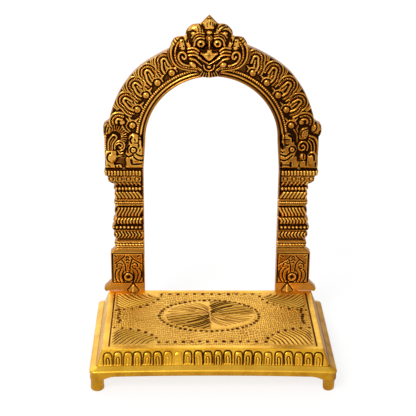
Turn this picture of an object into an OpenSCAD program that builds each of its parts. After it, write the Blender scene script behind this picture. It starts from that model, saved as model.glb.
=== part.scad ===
// Brass prabhavali: an ornamental arch on two pillars that lifts off a low hollow pedestal.
// Millimetres. X runs left to right, Y from front to back, Z up. The origin is the middle of
// the pedestal's footprint, on the surface that it stands on.

/* [Base] */
// Width of the base at its rim
base_w = 179; // [170:1:200]
// Depth of the base at its rim
base_d = 116; // [100:1:140]
// Height of the upright rim
rim_h = 4.5; // [3.5:0.5:8]
// Width of the ledge between the rim and the block
ledge_w = 5; // [4:0.5:7]
// Rise of the ledge from the rim's edge to the block
ledge_rise = 1.5; // [0.5:0.5:3]
// Height of the leaning block under the top
block_h = 12; // [9:0.5:18]
// How far each side of the block leans in on its way up
block_batter = 4.5; // [3:0.5:6]
// How far the top is crowned in the middle of its front edge
crown_h = 1.2; // [0.4:0.2:2]
// Wall thickness of the hollow casting
wall = 3; // [2.5:0.5:4]

/* [Top plate] */
// Plain border left between the plate and the edge of the top
border_w = 4; // [3:0.5:8]
// Thickness of the chased plate
plate_t = 2.5; // [1.5:0.5:4]
// Width of the shelf that the plate lies on
shelf_w = 6; // [4:0.5:10]
// Thickness of that shelf
shelf_t = 2.5; // [2:0.5:4]
// Gap round the plate in its recess
plate_gap = 0.1; // [0.05:0.05:0.3]
// Depth of the lines and dots engraved in the plate
chase_d = 0.7; // [0.3:0.1:1]
// Width of an engraved line
chase_w = 1.4; // [0.8:0.1:1.8]
// Radius of a punched dot
dot_r = 1; // [0.6:0.1:1.4]

/* [Feet] */
// Height of a foot under the rim
foot_h = 12; // [8:0.5:18]
// Radius of a foot at mid height
foot_r = 5; // [4:0.25:6]
// Radius of the foot's collar against the rim
foot_collar_r = 5.5; // [5:0.25:6]
// Radius of the flat that stands on the floor
foot_pad_r = 3.8; // [3:0.2:4]
// Height of the rounding above that flat
foot_round = 1.4; // [0.8:0.2:2]
// Distance of a foot's centre from the two rim faces beside it
foot_inset = 5.6; // [5.5:0.1:7]
// Radius of the spigot that holds a foot in the rim
spigot_r = 2; // [1.5:0.25:2.5]
// Length of the spigot
spigot_l = 3.5; // [2.5:0.5:4]

/* [Arch] */
// Clear width between the pillars
gap_w = 104; // [98:1:110]
// Inner radius of the arch
arch_r = 50.3; // [48:0.1:52]
// Width of the arch's band
band_w = 28.5; // [26:0.5:32]
// Height of the arch's centre above the base top
spring_h = 125; // [122:1:140]
// Thickness of the arch and its pillars, front to back
arch_t = 8; // [7:0.5:9]
// Gap between the top's rear edge and the arch's front
arch_set = 0.5; // [0.3:0.1:1]
// Depth of the arch's ground behind its front plane
ground_set = 1.5; // [1:0.25:2.5]
// Height of the springing blocks' underside above the base top
seat_h = 101.5; // [99:0.5:104]
// Half width of the arch over the springing blocks
springing_x = 81.5; // [80:0.5:84]
// Number of scrolls on each side of the arch
scroll_count = 5; // [3:1:6]
// Angle between neighbouring scrolls
scroll_pitch = 12.2; // [9:0.1:13]
// Outer radius of a scroll
scroll_r = 6.2; // [4.5:0.1:7]
// Width of the scroll's ribbon
scroll_ribbon = 2; // [1:0.25:2.5]
// Radius of a lotus bud
bud_r = 2.6; // [1.5:0.1:3]

/* [Mask] */
// How far the mask sits right of the arch's centre line
mask_x = -2.5; // [-4:0.5:4]
// Thickness of the mask's plate
mask_t = 2.5; // [2:0.25:4]
// Radius of the mask's head
head_r = 17; // [14:0.5:20]
// Height of the mask's crest above the arch's outer edge
crest_h = 18; // [12:0.5:24]
// Radius of an eye
eye_r = 3; // [2:0.25:4]

/* [Pillars] */
// Half width of the arch at the shafts' grooves
shaft_x = 73.6; // [72:0.2:75]
// Half width of the arch over the square blocks
block_x = 78.5; // [76:0.5:81]
// Height of the square block's underside above the base top
block_z0 = 8; // [7.5:0.5:12]
// Height of the square block's upper edge above the base top
block_z1 = 32.3; // [28:0.5:34]
// Height of the slope from the block up to the shaft
block_slope = 3.7; // [2:0.1:6]
// Width of a capital's lower band
neck_w = 27.6; // [25:0.2:30]
// Width of a capital's upper band
abacus_w = 30; // [28:0.5:33]
// Half width of the arch over the feet of the pillars
toe_x = 84.5; // [82:0.5:88]
// How far the tip of a pillar's foot droops below the base top
toe_droop = 1.2; // [0.4:0.2:2]
// Distance from the centre line to the spurs and pegs
peg_x = 61; // [59:0.5:66]
// Width of a spur
spur_w = 9; // [6:0.5:11]
// Height of a spur
spur_h = 6; // [4:0.5:7]
// How far a spur reaches forward over the top
spur_d = 3; // [2:0.5:4]

/* [Fixings] */
// Radius of the pegs under the arch
peg_r = 2.25; // [1.5:0.25:2.25]
// Length of a peg below the base top
peg_drop = 14; // [8:0.5:16]
// Length of a peg inside its pillar
peg_root = 9; // [6:0.5:14]
// Clearance between a peg and its bore, on the radius
peg_gap = 0.05; // [0.02:0.01:0.1]
// Clearance of the fixed pins in their holes, on the radius
pin_gap = 0.03; // [0.02:0.01:0.1]
// Width of a socket
socket_w = 18; // [16:0.5:22]
// Distance of a socket's rear face from the rim's rear face
socket_set = 1; // [1:0.25:2]
// Radius of a rivet
rivet_r = 1.25; // [1:0.25:1.5]
// Radius of a rivet's head
rivet_head_r = 2.3; // [1.8:0.1:2.5]
// Height of a rivet's head
rivet_head_h = 0.9; // [0.5:0.1:1]
// Distance of a socket's rivets from its bore
rivet_x = 6; // [5:0.25:6.5]
// Radius of the dowels between pillars and arch
dowel_r = 2; // [1.5:0.25:2.5]
// Length of a dowel on either side of the joint
dowel_l = 8; // [5:0.5:12]
// Distance from the mask's centre line to its rivets
mask_rivet_x = 8; // [6:0.5:11]

/* [Hidden] */
$fn = 48;

// A cut runs this far past the face that it opens
cut = 1;

// Heights of the base, from the floor up
rim_z = foot_h;
ledge_z = rim_z + rim_h;
block_z = ledge_z + ledge_rise;
top_z = block_z + block_h;
shelf_z = top_z - plate_t - shelf_t;
top_w = base_w - 2 * (ledge_w + block_batter);
top_d = base_d - 2 * (ledge_w + block_batter);
plate_w = top_w - 2 * border_w;
plate_d = top_d - 2 * border_w;
rim_w = ledge_w + wall;

// The crown ends this far inside the top's edges, sunk this far below it there
crown_inset = 0.3;
crown_sink = 0.05;
// Share of the crown that is left at the rear edge, too little to rise above the top there
crown_rear = 0.03;
// Half sizes of the crowned field, and the number of its strips from left to right: an odd one,
// so that the middle strip is a flat seat
crown_half = [top_w / 2 - crown_inset, top_d / 2 - crown_inset];
crown_strips = 5;

// The plate's engraving is drawn on a field of this size and stretched to the plate
chase_field = [152, 89];
// Lines of the four fans about their middle, each drawn again turned by half a circle
fan_middle = [-0.9, 6.5];
fan_lines = [
    [[1.6, 1.6], [5, 6.5], [17, 13.2]], [[-1.6, 1.6], [-5, 6.2], [-16, 11.8]],
    [[3, 9], [10, 16.5]], [[10, 5.5], [17, 8], [24, 10.2]], [[12, 2.2], [28, 5.8]],
    [[-10, 3.4], [-28, 7.6]], [[-4, 10], [-11, 15.5]]
];
// Ring of punched dots round the fans: middle, half sizes and number of dots
dot_ring = [-1.5, 5];
dot_ring_half = [38, 23.5];
dot_count = 28;
// Fans in the plate's corners: corner, reach along both edges, angles of the lines, and the
// shares of the reach at which a line starts and ends
fan_corner = [74.5, 42.5];
fan_reach = [36, 27];
fan_angles = [14, 38, 56, 76];
fan_run = [0.3, 0.85];

// The arch stands behind the top's rear edge, its back plane flat
arch_y0 = top_d / 2 + arch_set;
arch_y1 = arch_y0 + arch_t;
ground_y = arch_y0 + ground_set;
peg_y = (arch_y0 + arch_y1) / 2;
arch_z = top_z + spring_h;
seat_z = top_z + seat_h;
inner_x = gap_w / 2;
outer_r = arch_r + band_w;
socket_y1 = base_d / 2 - socket_set;
rivet_z = top_z - block_h / 2;

// Mouldings of the arch's inner edge: start, end and height above the ground, outwards from it
edge_mouldings = [[0, 2, 0.9], [2.7, 4.7, 1.1], [5.3, 7.3, 0.9]];

// The shaft runs from the slope over the block to the capital
shaft_z0 = block_z1 + block_slope;
capital_h = 12.7;
shaft_z1 = seat_h - capital_h;
// Rings of the shaft: lower and upper height over a run of this length, and bulge
ring_run = 52.8;
shaft_rings = [
    [0.6, 6.6, 1.9], [8.4, 14.4, 2.4], [14.8, 20.4, 3.4], [20.8, 26.4, 2.4],
    [27.6, 34.6, 1.3], [35.8, 41.2, 1.5], [42.2, 47.8, 1.1], [48.6, 52.2, 1.6]
];
ring_stretch = (shaft_z1 - shaft_z0) / ring_run;
// Share of a ring's bulge that shows on the pillar's front
front_bulge = 0.55;
// Segments in the outline of a ring
ring_steps = 6;
// Bands of the capital: lower and upper depth below the arch's seat, and width
capital_bands = [[9.3, 4.5, neck_w], [4.1, 0, abacus_w]];
// Draw-in at the lower edge of such a band
band_draw = 0.6;

// The mask is drawn about a point this far inside the arch's outer edge
mask_sink = 11;
mask_z = arch_z + outer_r - mask_sink;
// Lobes of the mask's outline, drawn on both sides: distance from its centre line, height, radius
mask_lobes = [[10, 15.4, 6.9], [22.5, 7.2, 5.6], [20.5, -2.5, 9.5]];
// Round forms of the mask's face, drawn on both sides: distance, height and share of an eye's size
mask_knobs = [[5.6, 8.2, 1], [10.7, -6.5, 1]];
// Nose of the mask: height and size as a share of an eye's
mask_nose = [-1, 1.25];
// Round forms of the two beasts on a springing block: distance from its inner face, height
// above its seat and radius
beast_forms = [
    [23.4, 11.3, 4.2], [18, 20.1, 3.8], [23, 26.1, 3.4], [7.6, 17.3, 3.8], [9, 8.1, 4.2],
    [23, 3.2, 2.2], [6, 2.9, 2.2], [14, 28.5, 3.2]
];
// Share of a round form's radius that stands out of the ground
form_rise = 0.5;
mask_y0 = ground_y - mask_t;
mask_rivet_sink = 3;
mask_rivet_z = arch_z + arch_r + band_w / 2 - mask_rivet_sink;
mask_rivet_depth = 1.8;

brass = "goldenrod";
dark_brass = "darkgoldenrod";
old_brass = "peru";

// Draws a shape of the X-Z plane between two depths
module between_depths(y0, y1) {
    translate([0, y1, 0]) rotate([90, 0, 0]) linear_extrude(y1 - y0) children();
}

// Draws a profile of the Y-Z plane between two places along X
module across(x0, x1) {
    translate([x0, 0, 0]) rotate([90, 0, 90]) linear_extrude(x1 - x0) children();
}

// Outline of the base on one axis, with half its extent there
module base_profile(half) {
    polygon([
        [-half, rim_z], [half, rim_z], [half, ledge_z], [half - ledge_w, block_z],
        [half - ledge_w - block_batter, top_z], [-half + ledge_w + block_batter, top_z],
        [-half + ledge_w, block_z], [-half, ledge_z]
    ]);
}

// Outline of the hollow inside the base on one axis
module hollow_profile(half) {
    foot = half - rim_w;
    head = foot - block_batter * (shelf_z - block_z) / block_h;
    polygon([[-foot, rim_z - cut], [foot, rim_z - cut], [foot, block_z], [head, shelf_z],
        [-head, shelf_z], [-foot, block_z]]);
}

module at_corner(x_side, y_side) {
    translate([x_side * (base_w / 2 - foot_inset), y_side * (base_d / 2 - foot_inset), 0]) children();
}

module peg_bore(side) {
    translate([side * peg_x, peg_y, rim_z - cut])
        cylinder(r = peg_r + peg_gap, h = top_z - rim_z + 2 * cut);
}

// Rivets of one socket, or their holes with a clearance
module socket_rivet_pair(side, gap) {
    wall_y = top_d / 2 + block_batter * (top_z - rivet_z) / block_h - wall;
    for (dx = [-rivet_x, rivet_x])
        translate([side * peg_x + dx, socket_y1, rivet_z]) rotate([90, 0, 0]) {
            translate([0, 0, -cut * sign(gap)])
                cylinder(r = rivet_r + gap, h = socket_y1 - wall_y + cut + cut * sign(gap));
            if (gap == 0) rivet_head();
        }
}

// Low cone of a rivet's head, on the face at its foot
module rivet_head() {
    translate([0, 0, -rivet_head_h]) cylinder(r1 = rivet_r, r2 = rivet_head_r, h = rivet_head_h);
}

// Rise of the top over its corners: a low arch at the front edge that fades to the rear edge
function crown_rise(x, y) =
    crown_h * (1 - pow(x / crown_half[0], 2))
        * (crown_rear + (1 - crown_rear) * (1 - y / crown_half[1]) / 2) - crown_sink;

// Solid under the crowned top, down to a height: the front edge's points come first, then the
// rear edge's, then the four corners below
module crowned_top(z0) {
    n = crown_strips;
    xs = [for (i = [0 : n]) crown_half[0] * (2 * i / n - 1)];
    corners = [[-1, -1], [1, -1], [1, 1], [-1, 1]];
    polyhedron(
        points = concat(
            [for (y = [-crown_half[1], crown_half[1]], x = xs) [x, y, top_z + crown_rise(x, y)]],
            [for (corner = corners) [corner[0] * crown_half[0], corner[1] * crown_half[1], z0]]
        ),
        faces = concat(
            [for (i = [0 : n - 1]) [i, n + 1 + i, i + 1]],
            [for (i = [0 : n - 1]) [i + 1, n + 1 + i, n + 2 + i]],
            [
                concat([for (i = [0 : n]) i], [2 * n + 3, 2 * n + 2]),
                concat([for (i = [n : -1 : 0]) n + 1 + i], [2 * n + 5, 2 * n + 4]),
                [0, 2 * n + 2, 2 * n + 5, n + 1], [n, 2 * n + 1, 2 * n + 4, 2 * n + 3],
                [2 * n + 2, 2 * n + 3, 2 * n + 4, 2 * n + 5]
            ]
        )
    );
}

// Hollow cast pedestal: rim, ledge and leaning block, with a recess for the plate in its top
module base_frame() {
    color(brass) difference() {
        union() {
            intersection() {
                between_depths(-base_d / 2, base_d / 2) base_profile(base_w / 2);
                across(-base_w / 2, base_w / 2) base_profile(base_d / 2);
            }
            crowned_top(top_z - cut);
        }
        intersection() {
            between_depths(-base_d / 2, base_d / 2) hollow_profile(base_w / 2);
            across(-base_w / 2, base_w / 2) hollow_profile(base_d / 2);
        }
        translate([-plate_w / 2, -plate_d / 2, top_z - plate_t])
            cube([plate_w, plate_d, plate_t + crown_h + cut]);
        translate([-plate_w / 2 + shelf_w, -plate_d / 2 + shelf_w, shelf_z - cut])
            cube([plate_w - 2 * shelf_w, plate_d - 2 * shelf_w, shelf_t + 2 * cut]);
        for (x_side = [-1, 1], y_side = [-1, 1])
            at_corner(x_side, y_side) translate([0, 0, rim_z - cut])
                cylinder(r = spigot_r + pin_gap, h = spigot_l + 2 * pin_gap + cut);
        for (side = [-1, 1]) {
            peg_bore(side);
            socket_rivet_pair(side, pin_gap);
        }
    }
}

// Place on the plate of a point drawn on the engraving's field
function on_plate(point) = [point[0] * plate_w / chase_field[0], point[1] * plate_d / chase_field[1]];

// Unit vector to the left of the way from one point to another
function left_of(from, to) = [from[1] - to[1], to[0] - from[0]] / norm(to - from);

// One engraved line: a strip of even width along its points
module engraved_line(points) {
    last = len(points) - 1;
    sides = [for (i = [0 : last]) left_of(points[max(i - 1, 0)], points[min(i + 1, last)]) * chase_w / 2];
    middle = (points[0] + points[last]) / 2;
    translate([0, 0, crown_rise(middle[0], middle[1])]) linear_extrude(chase_d + cut)
        polygon(concat(
            [for (i = [0 : last]) points[i] + sides[i]],
            [for (i = [last : -1 : 0]) points[i] - sides[i]]
        ));
}

// Fans of engraved lines in the plate's middle and corners, and a ring of dots
module plate_engraving() {
    for (turn = [-1, 1], line = fan_lines)
        engraved_line([for (point = line) on_plate(fan_middle + turn * point)]);
    for (x_side = [-1, 1], y_side = [-1, 1], angle = fan_angles)
        engraved_line([for (share = fan_run) on_plate([
            x_side * (fan_corner[0] - share * fan_reach[0] * cos(angle)),
            y_side * (fan_corner[1] - share * fan_reach[1] * sin(angle))
        ])]);
    for (i = [0 : dot_count - 1]) {
        spot = on_plate(dot_ring + [
            dot_ring_half[0] * cos(360 * i / dot_count), dot_ring_half[1] * sin(360 * i / dot_count)
        ]);
        translate([spot[0], spot[1], crown_rise(spot[0], spot[1])])
            cylinder(r = dot_r, h = chase_d + cut);
    }
}

// Chased plate let into the top
module top_plate() {
    color(brass) difference() {
        intersection() {
            translate([-plate_w / 2 + plate_gap, -plate_d / 2 + plate_gap, top_z - plate_t])
                cube([plate_w - 2 * plate_gap, plate_d - 2 * plate_gap, plate_t + crown_h + cut]);
            crowned_top(top_z - plate_t - cut);
        }
        translate([0, 0, top_z - chase_d]) plate_engraving();
    }
}

// Round foot with a rounded sole, a collar under the rim and a spigot soldered into it
module base_foot(x_side, y_side) {
    color(brass) at_corner(x_side, y_side) {
        rotate_extrude() polygon([
            [0, 0], [foot_pad_r, 0], [foot_r, foot_round], [foot_r, foot_h - 2 * foot_round],
            [foot_collar_r, foot_h - foot_round / 2], [foot_collar_r, foot_h], [0, foot_h]
        ]);
        translate([0, 0, foot_h - cut]) cylinder(r = spigot_r, h = spigot_l + cut);
    }
}

// Wedge on the rear ledge that takes a peg of the arch
module socket(side) {
    ledge_at_socket = ledge_z + ledge_rise * socket_set / ledge_w;
    color(dark_brass) difference() {
        across(side * peg_x - socket_w / 2, side * peg_x + socket_w / 2) polygon([
            [top_d / 2, top_z], [top_d / 2 + block_batter, block_z],
            [socket_y1, ledge_at_socket], [socket_y1, top_z]
        ]);
        peg_bore(side);
        socket_rivet_pair(side, pin_gap);
    }
}

module socket_rivets() {
    color(dark_brass) for (side = [-1, 1]) socket_rivet_pair(side, 0);
}

// Places a shape of the X-Z plane on the arch, turned from the crown, at a distance from its centre
module on_arch(turn, r) {
    translate([0, arch_z]) rotate(turn) translate([0, r]) children();
}

// Hooked scroll: a ribbon bent over in a half turn, with an eye inside it
module scroll() {
    leg = 7;
    difference() {
        circle(scroll_r);
        circle(scroll_r - scroll_ribbon);
        translate([-2 * scroll_r, -2 * scroll_r]) square([4 * scroll_r, 2 * scroll_r]);
    }
    for (x = [-scroll_r, scroll_r - scroll_ribbon]) translate([x, -leg]) square([scroll_ribbon, leg]);
    circle(scroll_r - 2 * scroll_ribbon);
}

// Leaning outline of a springing block and the leaf above its shoulder
module springing_outline(side) {
    leaf_r = 5.5;
    leaf_z = 8.5;
    leaf_out = 0.8;
    polygon([
        [side * inner_x, seat_z], [side * springing_x, seat_z], [side * springing_x, arch_z + leaf_z],
        [side * (arch_r + leaf_z), arch_z + leaf_z], [side * arch_r, arch_z]
    ]);
    translate([side * (springing_x - leaf_r + leaf_out), arch_z + leaf_z]) circle(leaf_r);
}

// Outline of the mask: head, side lobes, crest leaf and beard
module mask_outline() {
    crest_w = 14;
    crest_l = 23;
    crest_top = arch_z + outer_r + crest_h;
    leaf_r = (crest_l * crest_l + crest_w * crest_w) / (4 * crest_w);
    beard_r = 9;
    cheek_x = mask_lobes[1][0];
    translate([mask_x, 0]) {
        translate([0, mask_z]) circle(head_r);
        intersection_for(side = [-1, 1])
            translate([side * (leaf_r - crest_w / 2), crest_top - crest_l / 2]) circle(leaf_r);
        for (side = [-1, 1], lobe = mask_lobes) translate([side * lobe[0], mask_z + lobe[1]]) circle(lobe[2]);
        translate([-cheek_x, mask_z]) square([2 * cheek_x, mask_lobes[1][1]]);
        translate([0, arch_z + arch_r + beard_r]) circle(beard_r);
    }
}

module mask_rivet_pair(gap) {
    for (side = [-1, 1])
        translate([mask_x + side * mask_rivet_x, arch_y1, mask_rivet_z]) rotate([90, 0, 0]) {
            translate([0, 0, -cut * sign(gap)])
                cylinder(r = rivet_r + gap, h = arch_y1 - ground_y + mask_rivet_depth + gap + cut * sign(gap));
            if (gap == 0) rivet_head();
        }
}

module dowel_pair(gap) {
    for (side = [-1, 1])
        translate([side * (inner_x + abacus_w / 2), peg_y, seat_z - dowel_l - gap])
            cylinder(r = dowel_r + gap, h = 2 * (dowel_l + gap));
}

// Cast arch on its springing blocks, with mouldings, scrolls and buds on its ground
module torana_arch() {
    scroll_start = 27;
    bud_turn = 2;
    bud_out = 10.5;
    bud_seat_r = arch_r + bud_out;
    scroll_rise = 1.2;
    sunk = 0.5;
    edge = 0.6;
    color(old_brass) difference() {
        union() {
            translate([0, 0, arch_z]) rotate([90, 0, 0]) rotate_extrude(angle = 180) {
                translate([arch_r, -arch_y1]) square([band_w, arch_y1 - ground_y]);
                for (m = edge_mouldings)
                    translate([arch_r + m[0], -arch_y1]) square([m[1] - m[0], arch_y1 - ground_y + m[2]]);
            }
            for (side = [-1, 1]) between_depths(ground_y, arch_y1) springing_outline(side);
            between_depths(ground_y - scroll_rise, ground_y + sunk)
                for (side = [-1, 1], i = [0:scroll_count - 1])
                    on_arch(side * (scroll_start + i * scroll_pitch), outer_r - scroll_r - edge) scroll();
            for (side = [0, 1]) mirror([side, 0, 0]) {
                for (i = [0:scroll_count - 1]) {
                    turn = scroll_start + bud_turn + i * scroll_pitch;
                    translate([bud_seat_r * sin(turn), ground_y, arch_z + bud_seat_r * cos(turn)]) sphere(bud_r);
                }
                for (form = beast_forms)
                    translate([inner_x + form[0], ground_y + (1 - form_rise) * form[2], seat_z + form[1]])
                        sphere(form[2]);
            }
        }
        between_depths(arch_y0 - 2 * cut, ground_y) mask_outline();
        mask_rivet_pair(pin_gap);
        dowel_pair(pin_gap);
    }
}

// Lion mask riveted to the crown of the arch
module kirtimukha_mask() {
    face_r = 26;
    face_rise = 3;
    face_drop = 1;
    knob_y = mask_y0 - face_rise + eye_r / 2;
    color(old_brass) difference() {
        union() {
            between_depths(mask_y0, ground_y) mask_outline();
            intersection() {
                translate([mask_x, mask_y0 - face_rise + face_r, mask_z - face_drop]) sphere(face_r);
                between_depths(mask_y0 - 2 * face_rise, mask_y0 + cut)
                    translate([mask_x, mask_z]) circle(head_r);
            }
            translate([mask_x, knob_y, mask_z]) {
                for (side = [0, 1], knob = mask_knobs)
                    mirror([side, 0, 0]) translate([knob[0], 0, knob[1]]) sphere(eye_r * knob[2]);
                translate([0, 0, mask_nose[0]]) sphere(eye_r * mask_nose[1]);
            }
        }
        mask_rivet_pair(pin_gap);
    }
}

module mask_rivets() {
    color(old_brass) mask_rivet_pair(0);
}

// Points of one ring's rounded outline, as bulge and height above the base top
function ring_points(ring) = [
    for (i = [0:ring_steps])
        let (turn = 180 * i / ring_steps, along = (ring[0] + ring[1] - (ring[1] - ring[0]) * cos(turn)) / 2)
        [ring[2] * sin(turn), shaft_z0 + ring_stretch * along]
];
function shaft_points() = [for (ring = shaft_rings) each ring_points(ring)];

// Outline of a pillar seen from the front: foot, block, rings and capital
module pillar_outline() {
    toe_t = 2.6;
    toe_l = 4;
    tip = 1;
    translate([0, top_z]) polygon(concat(
        [[inner_x, seat_h], [inner_x, 0], [toe_x - toe_l, 0], [toe_x - tip, -toe_droop], [toe_x, -toe_droop],
            [toe_x, toe_t - toe_droop], [block_x + tip, block_z0 - tip], [block_x, block_z0],
            [block_x, block_z1], [shaft_x + band_draw, shaft_z0]],
        [for (p = shaft_points()) [shaft_x + p[0], p[1]]],
        [[shaft_x + band_draw, shaft_z1]],
        [for (band = capital_bands) each [
            [inner_x + band[2] - band_draw, seat_h - band[0]], [inner_x + band[2], seat_h - band[1] - band_draw]]],
        [[inner_x + abacus_w, seat_h]]
    ));
}

// Outline of a pillar seen from its side: flat back, ringed front
module pillar_depth() {
    translate([0, top_z]) polygon(concat(
        [[arch_y1, seat_h], [arch_y1, -toe_droop], [arch_y0, -toe_droop], [arch_y0, block_z1], [ground_y, shaft_z0]],
        [for (p = shaft_points()) [ground_y - front_bulge * p[0], p[1]]],
        [[ground_y, shaft_z1]],
        [for (i = [0:1]) each [
            [arch_y0 - band_draw * i, seat_h - capital_bands[i][0]],
            [arch_y0 - band_draw * i, seat_h - capital_bands[i][1] - band_draw]]],
        [[arch_y0 - band_draw, seat_h]]
    ));
}

// Three-cornered spur on the front of a pillar's foot, standing on the top's border
module spur() {
    translate([peg_x, arch_y0, top_z]) polyhedron(
        points = [[-spur_w / 2, 0, 0], [spur_w / 2, 0, 0], [0, 0, spur_h], [0, -spur_d, 0],
            [-spur_w / 2, cut, 0], [spur_w / 2, cut, 0], [0, cut, spur_h]],
        faces = [[0, 2, 3], [2, 1, 3], [0, 3, 1, 5, 4], [0, 4, 6, 2], [2, 6, 5, 1], [4, 5, 6]]
    );
}

module pillar(side) {
    color(old_brass) difference() {
        mirror([side < 0 ? 1 : 0, 0, 0]) union() {
            intersection() {
                between_depths(arch_y0 - ground_set, arch_y1) pillar_outline();
                across(inner_x - cut, toe_x + cut) pillar_depth();
            }
            spur();
        }
        translate([side * peg_x, peg_y, top_z - cut]) cylinder(r = peg_r + pin_gap, h = peg_root + pin_gap + cut);
        dowel_pair(pin_gap);
    }
}

module pillar_dowels() {
    color(dark_brass) dowel_pair(0);
}

// Round peg fixed in a pillar's foot, pointed to find its socket
module peg(side) {
    tip = peg_r / 2;
    color(dark_brass) translate([side * peg_x, peg_y, top_z - peg_drop]) {
        cylinder(r1 = peg_r - tip, r2 = peg_r, h = tip);
        translate([0, 0, tip]) cylinder(r = peg_r, h = peg_drop + peg_root - tip);
    }
}

base_frame();
top_plate();
base_foot(-1, -1);  // front_left_foot
base_foot(1, -1);  // front_right_foot
base_foot(-1, 1);  // rear_left_foot
base_foot(1, 1);  // rear_right_foot
socket(-1);  // left_socket
socket(1);  // right_socket
socket_rivets();
torana_arch();
kirtimukha_mask();
mask_rivets();
pillar(-1);  // left_pillar
pillar(1);  // right_pillar
pillar_dowels();
peg(-1);  // left_peg
peg(1);  // right_peg
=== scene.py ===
import bpy
import numpy as np
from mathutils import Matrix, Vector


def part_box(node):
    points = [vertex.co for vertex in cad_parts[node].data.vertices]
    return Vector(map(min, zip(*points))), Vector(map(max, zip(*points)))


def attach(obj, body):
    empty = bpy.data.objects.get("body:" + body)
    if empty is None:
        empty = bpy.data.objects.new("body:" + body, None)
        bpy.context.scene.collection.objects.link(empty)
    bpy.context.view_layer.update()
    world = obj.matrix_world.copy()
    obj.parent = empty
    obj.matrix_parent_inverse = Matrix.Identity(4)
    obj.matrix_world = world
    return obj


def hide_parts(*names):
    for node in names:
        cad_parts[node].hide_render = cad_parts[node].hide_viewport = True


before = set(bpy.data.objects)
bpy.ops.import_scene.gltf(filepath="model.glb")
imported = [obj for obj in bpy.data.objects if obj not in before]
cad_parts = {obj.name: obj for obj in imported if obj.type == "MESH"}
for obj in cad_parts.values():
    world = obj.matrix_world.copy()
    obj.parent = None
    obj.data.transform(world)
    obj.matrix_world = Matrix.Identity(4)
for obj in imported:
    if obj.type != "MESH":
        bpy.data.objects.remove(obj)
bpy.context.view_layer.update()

# Pedestal: a low hollow brass casting with a rim, a ledge and four leaning sides.
# Its front is chased with a row of upright lotus petals; the other sides are filed plain.
MM = 0.001


def eased(low, high, value):
    """Smooth step: 0 up to low, 1 from high on, and 3 t^2 - 2 t^3 of the share t between them."""
    share = np.clip((value - low) / (high - low), 0, 1)
    return share * share * (3 - 2 * share)


def arc(centre, radius, start, stop, flat=1.0, steps=24):
    """Points of an ellipse's arc: the centre plus the radius times each angle's cosine and flattened sine."""
    turn = np.radians(np.linspace(start, stop, steps))
    return np.array(centre) + radius * np.stack([np.cos(turn), flat * np.sin(turn)], 1)


def curve(*points, steps=6):
    """Smooth line through points: Catmull-Rom pieces, each a cubic of the four points round it."""
    p = np.array(points, float)
    p = np.vstack([2 * p[0] - p[1], p, 2 * p[-1] - p[-2]])
    a, b, c, d = p[:-3], p[1:-2], p[2:-1], p[3:]
    t = np.linspace(0, 1, steps, endpoint=False)[:, None, None]
    line = b + t * (c - a) / 2 + t**2 * (a - 2.5 * b + 2 * c - d / 2) + t**3 * (1.5 * (b - c) + (d - a) / 2)
    return np.vstack([line.transpose(1, 0, 2).reshape(-1, 2), p[-2]])


def run_along(line):
    """Length of a line from its start to each of its points."""
    return np.concatenate([[0.0], np.cumsum(np.hypot(*np.diff(line, axis=0).T))])


def spread(height, cells):
    """Box blur of a grid: the mean over that many cells to each side, along rows and then columns."""
    for axis in (0, 1):
        margin = [(0, 0), (0, 0)]
        margin[axis] = (cells + 1, cells)
        total = np.cumsum(np.pad(height, margin, mode="edge"), axis=axis)
        size = 2 * cells + 1
        upper = np.take(total, np.arange(size, total.shape[axis]), axis=axis)
        lower = np.take(total, np.arange(total.shape[axis] - size), axis=axis)
        height = (upper - lower) / size
    return height


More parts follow.
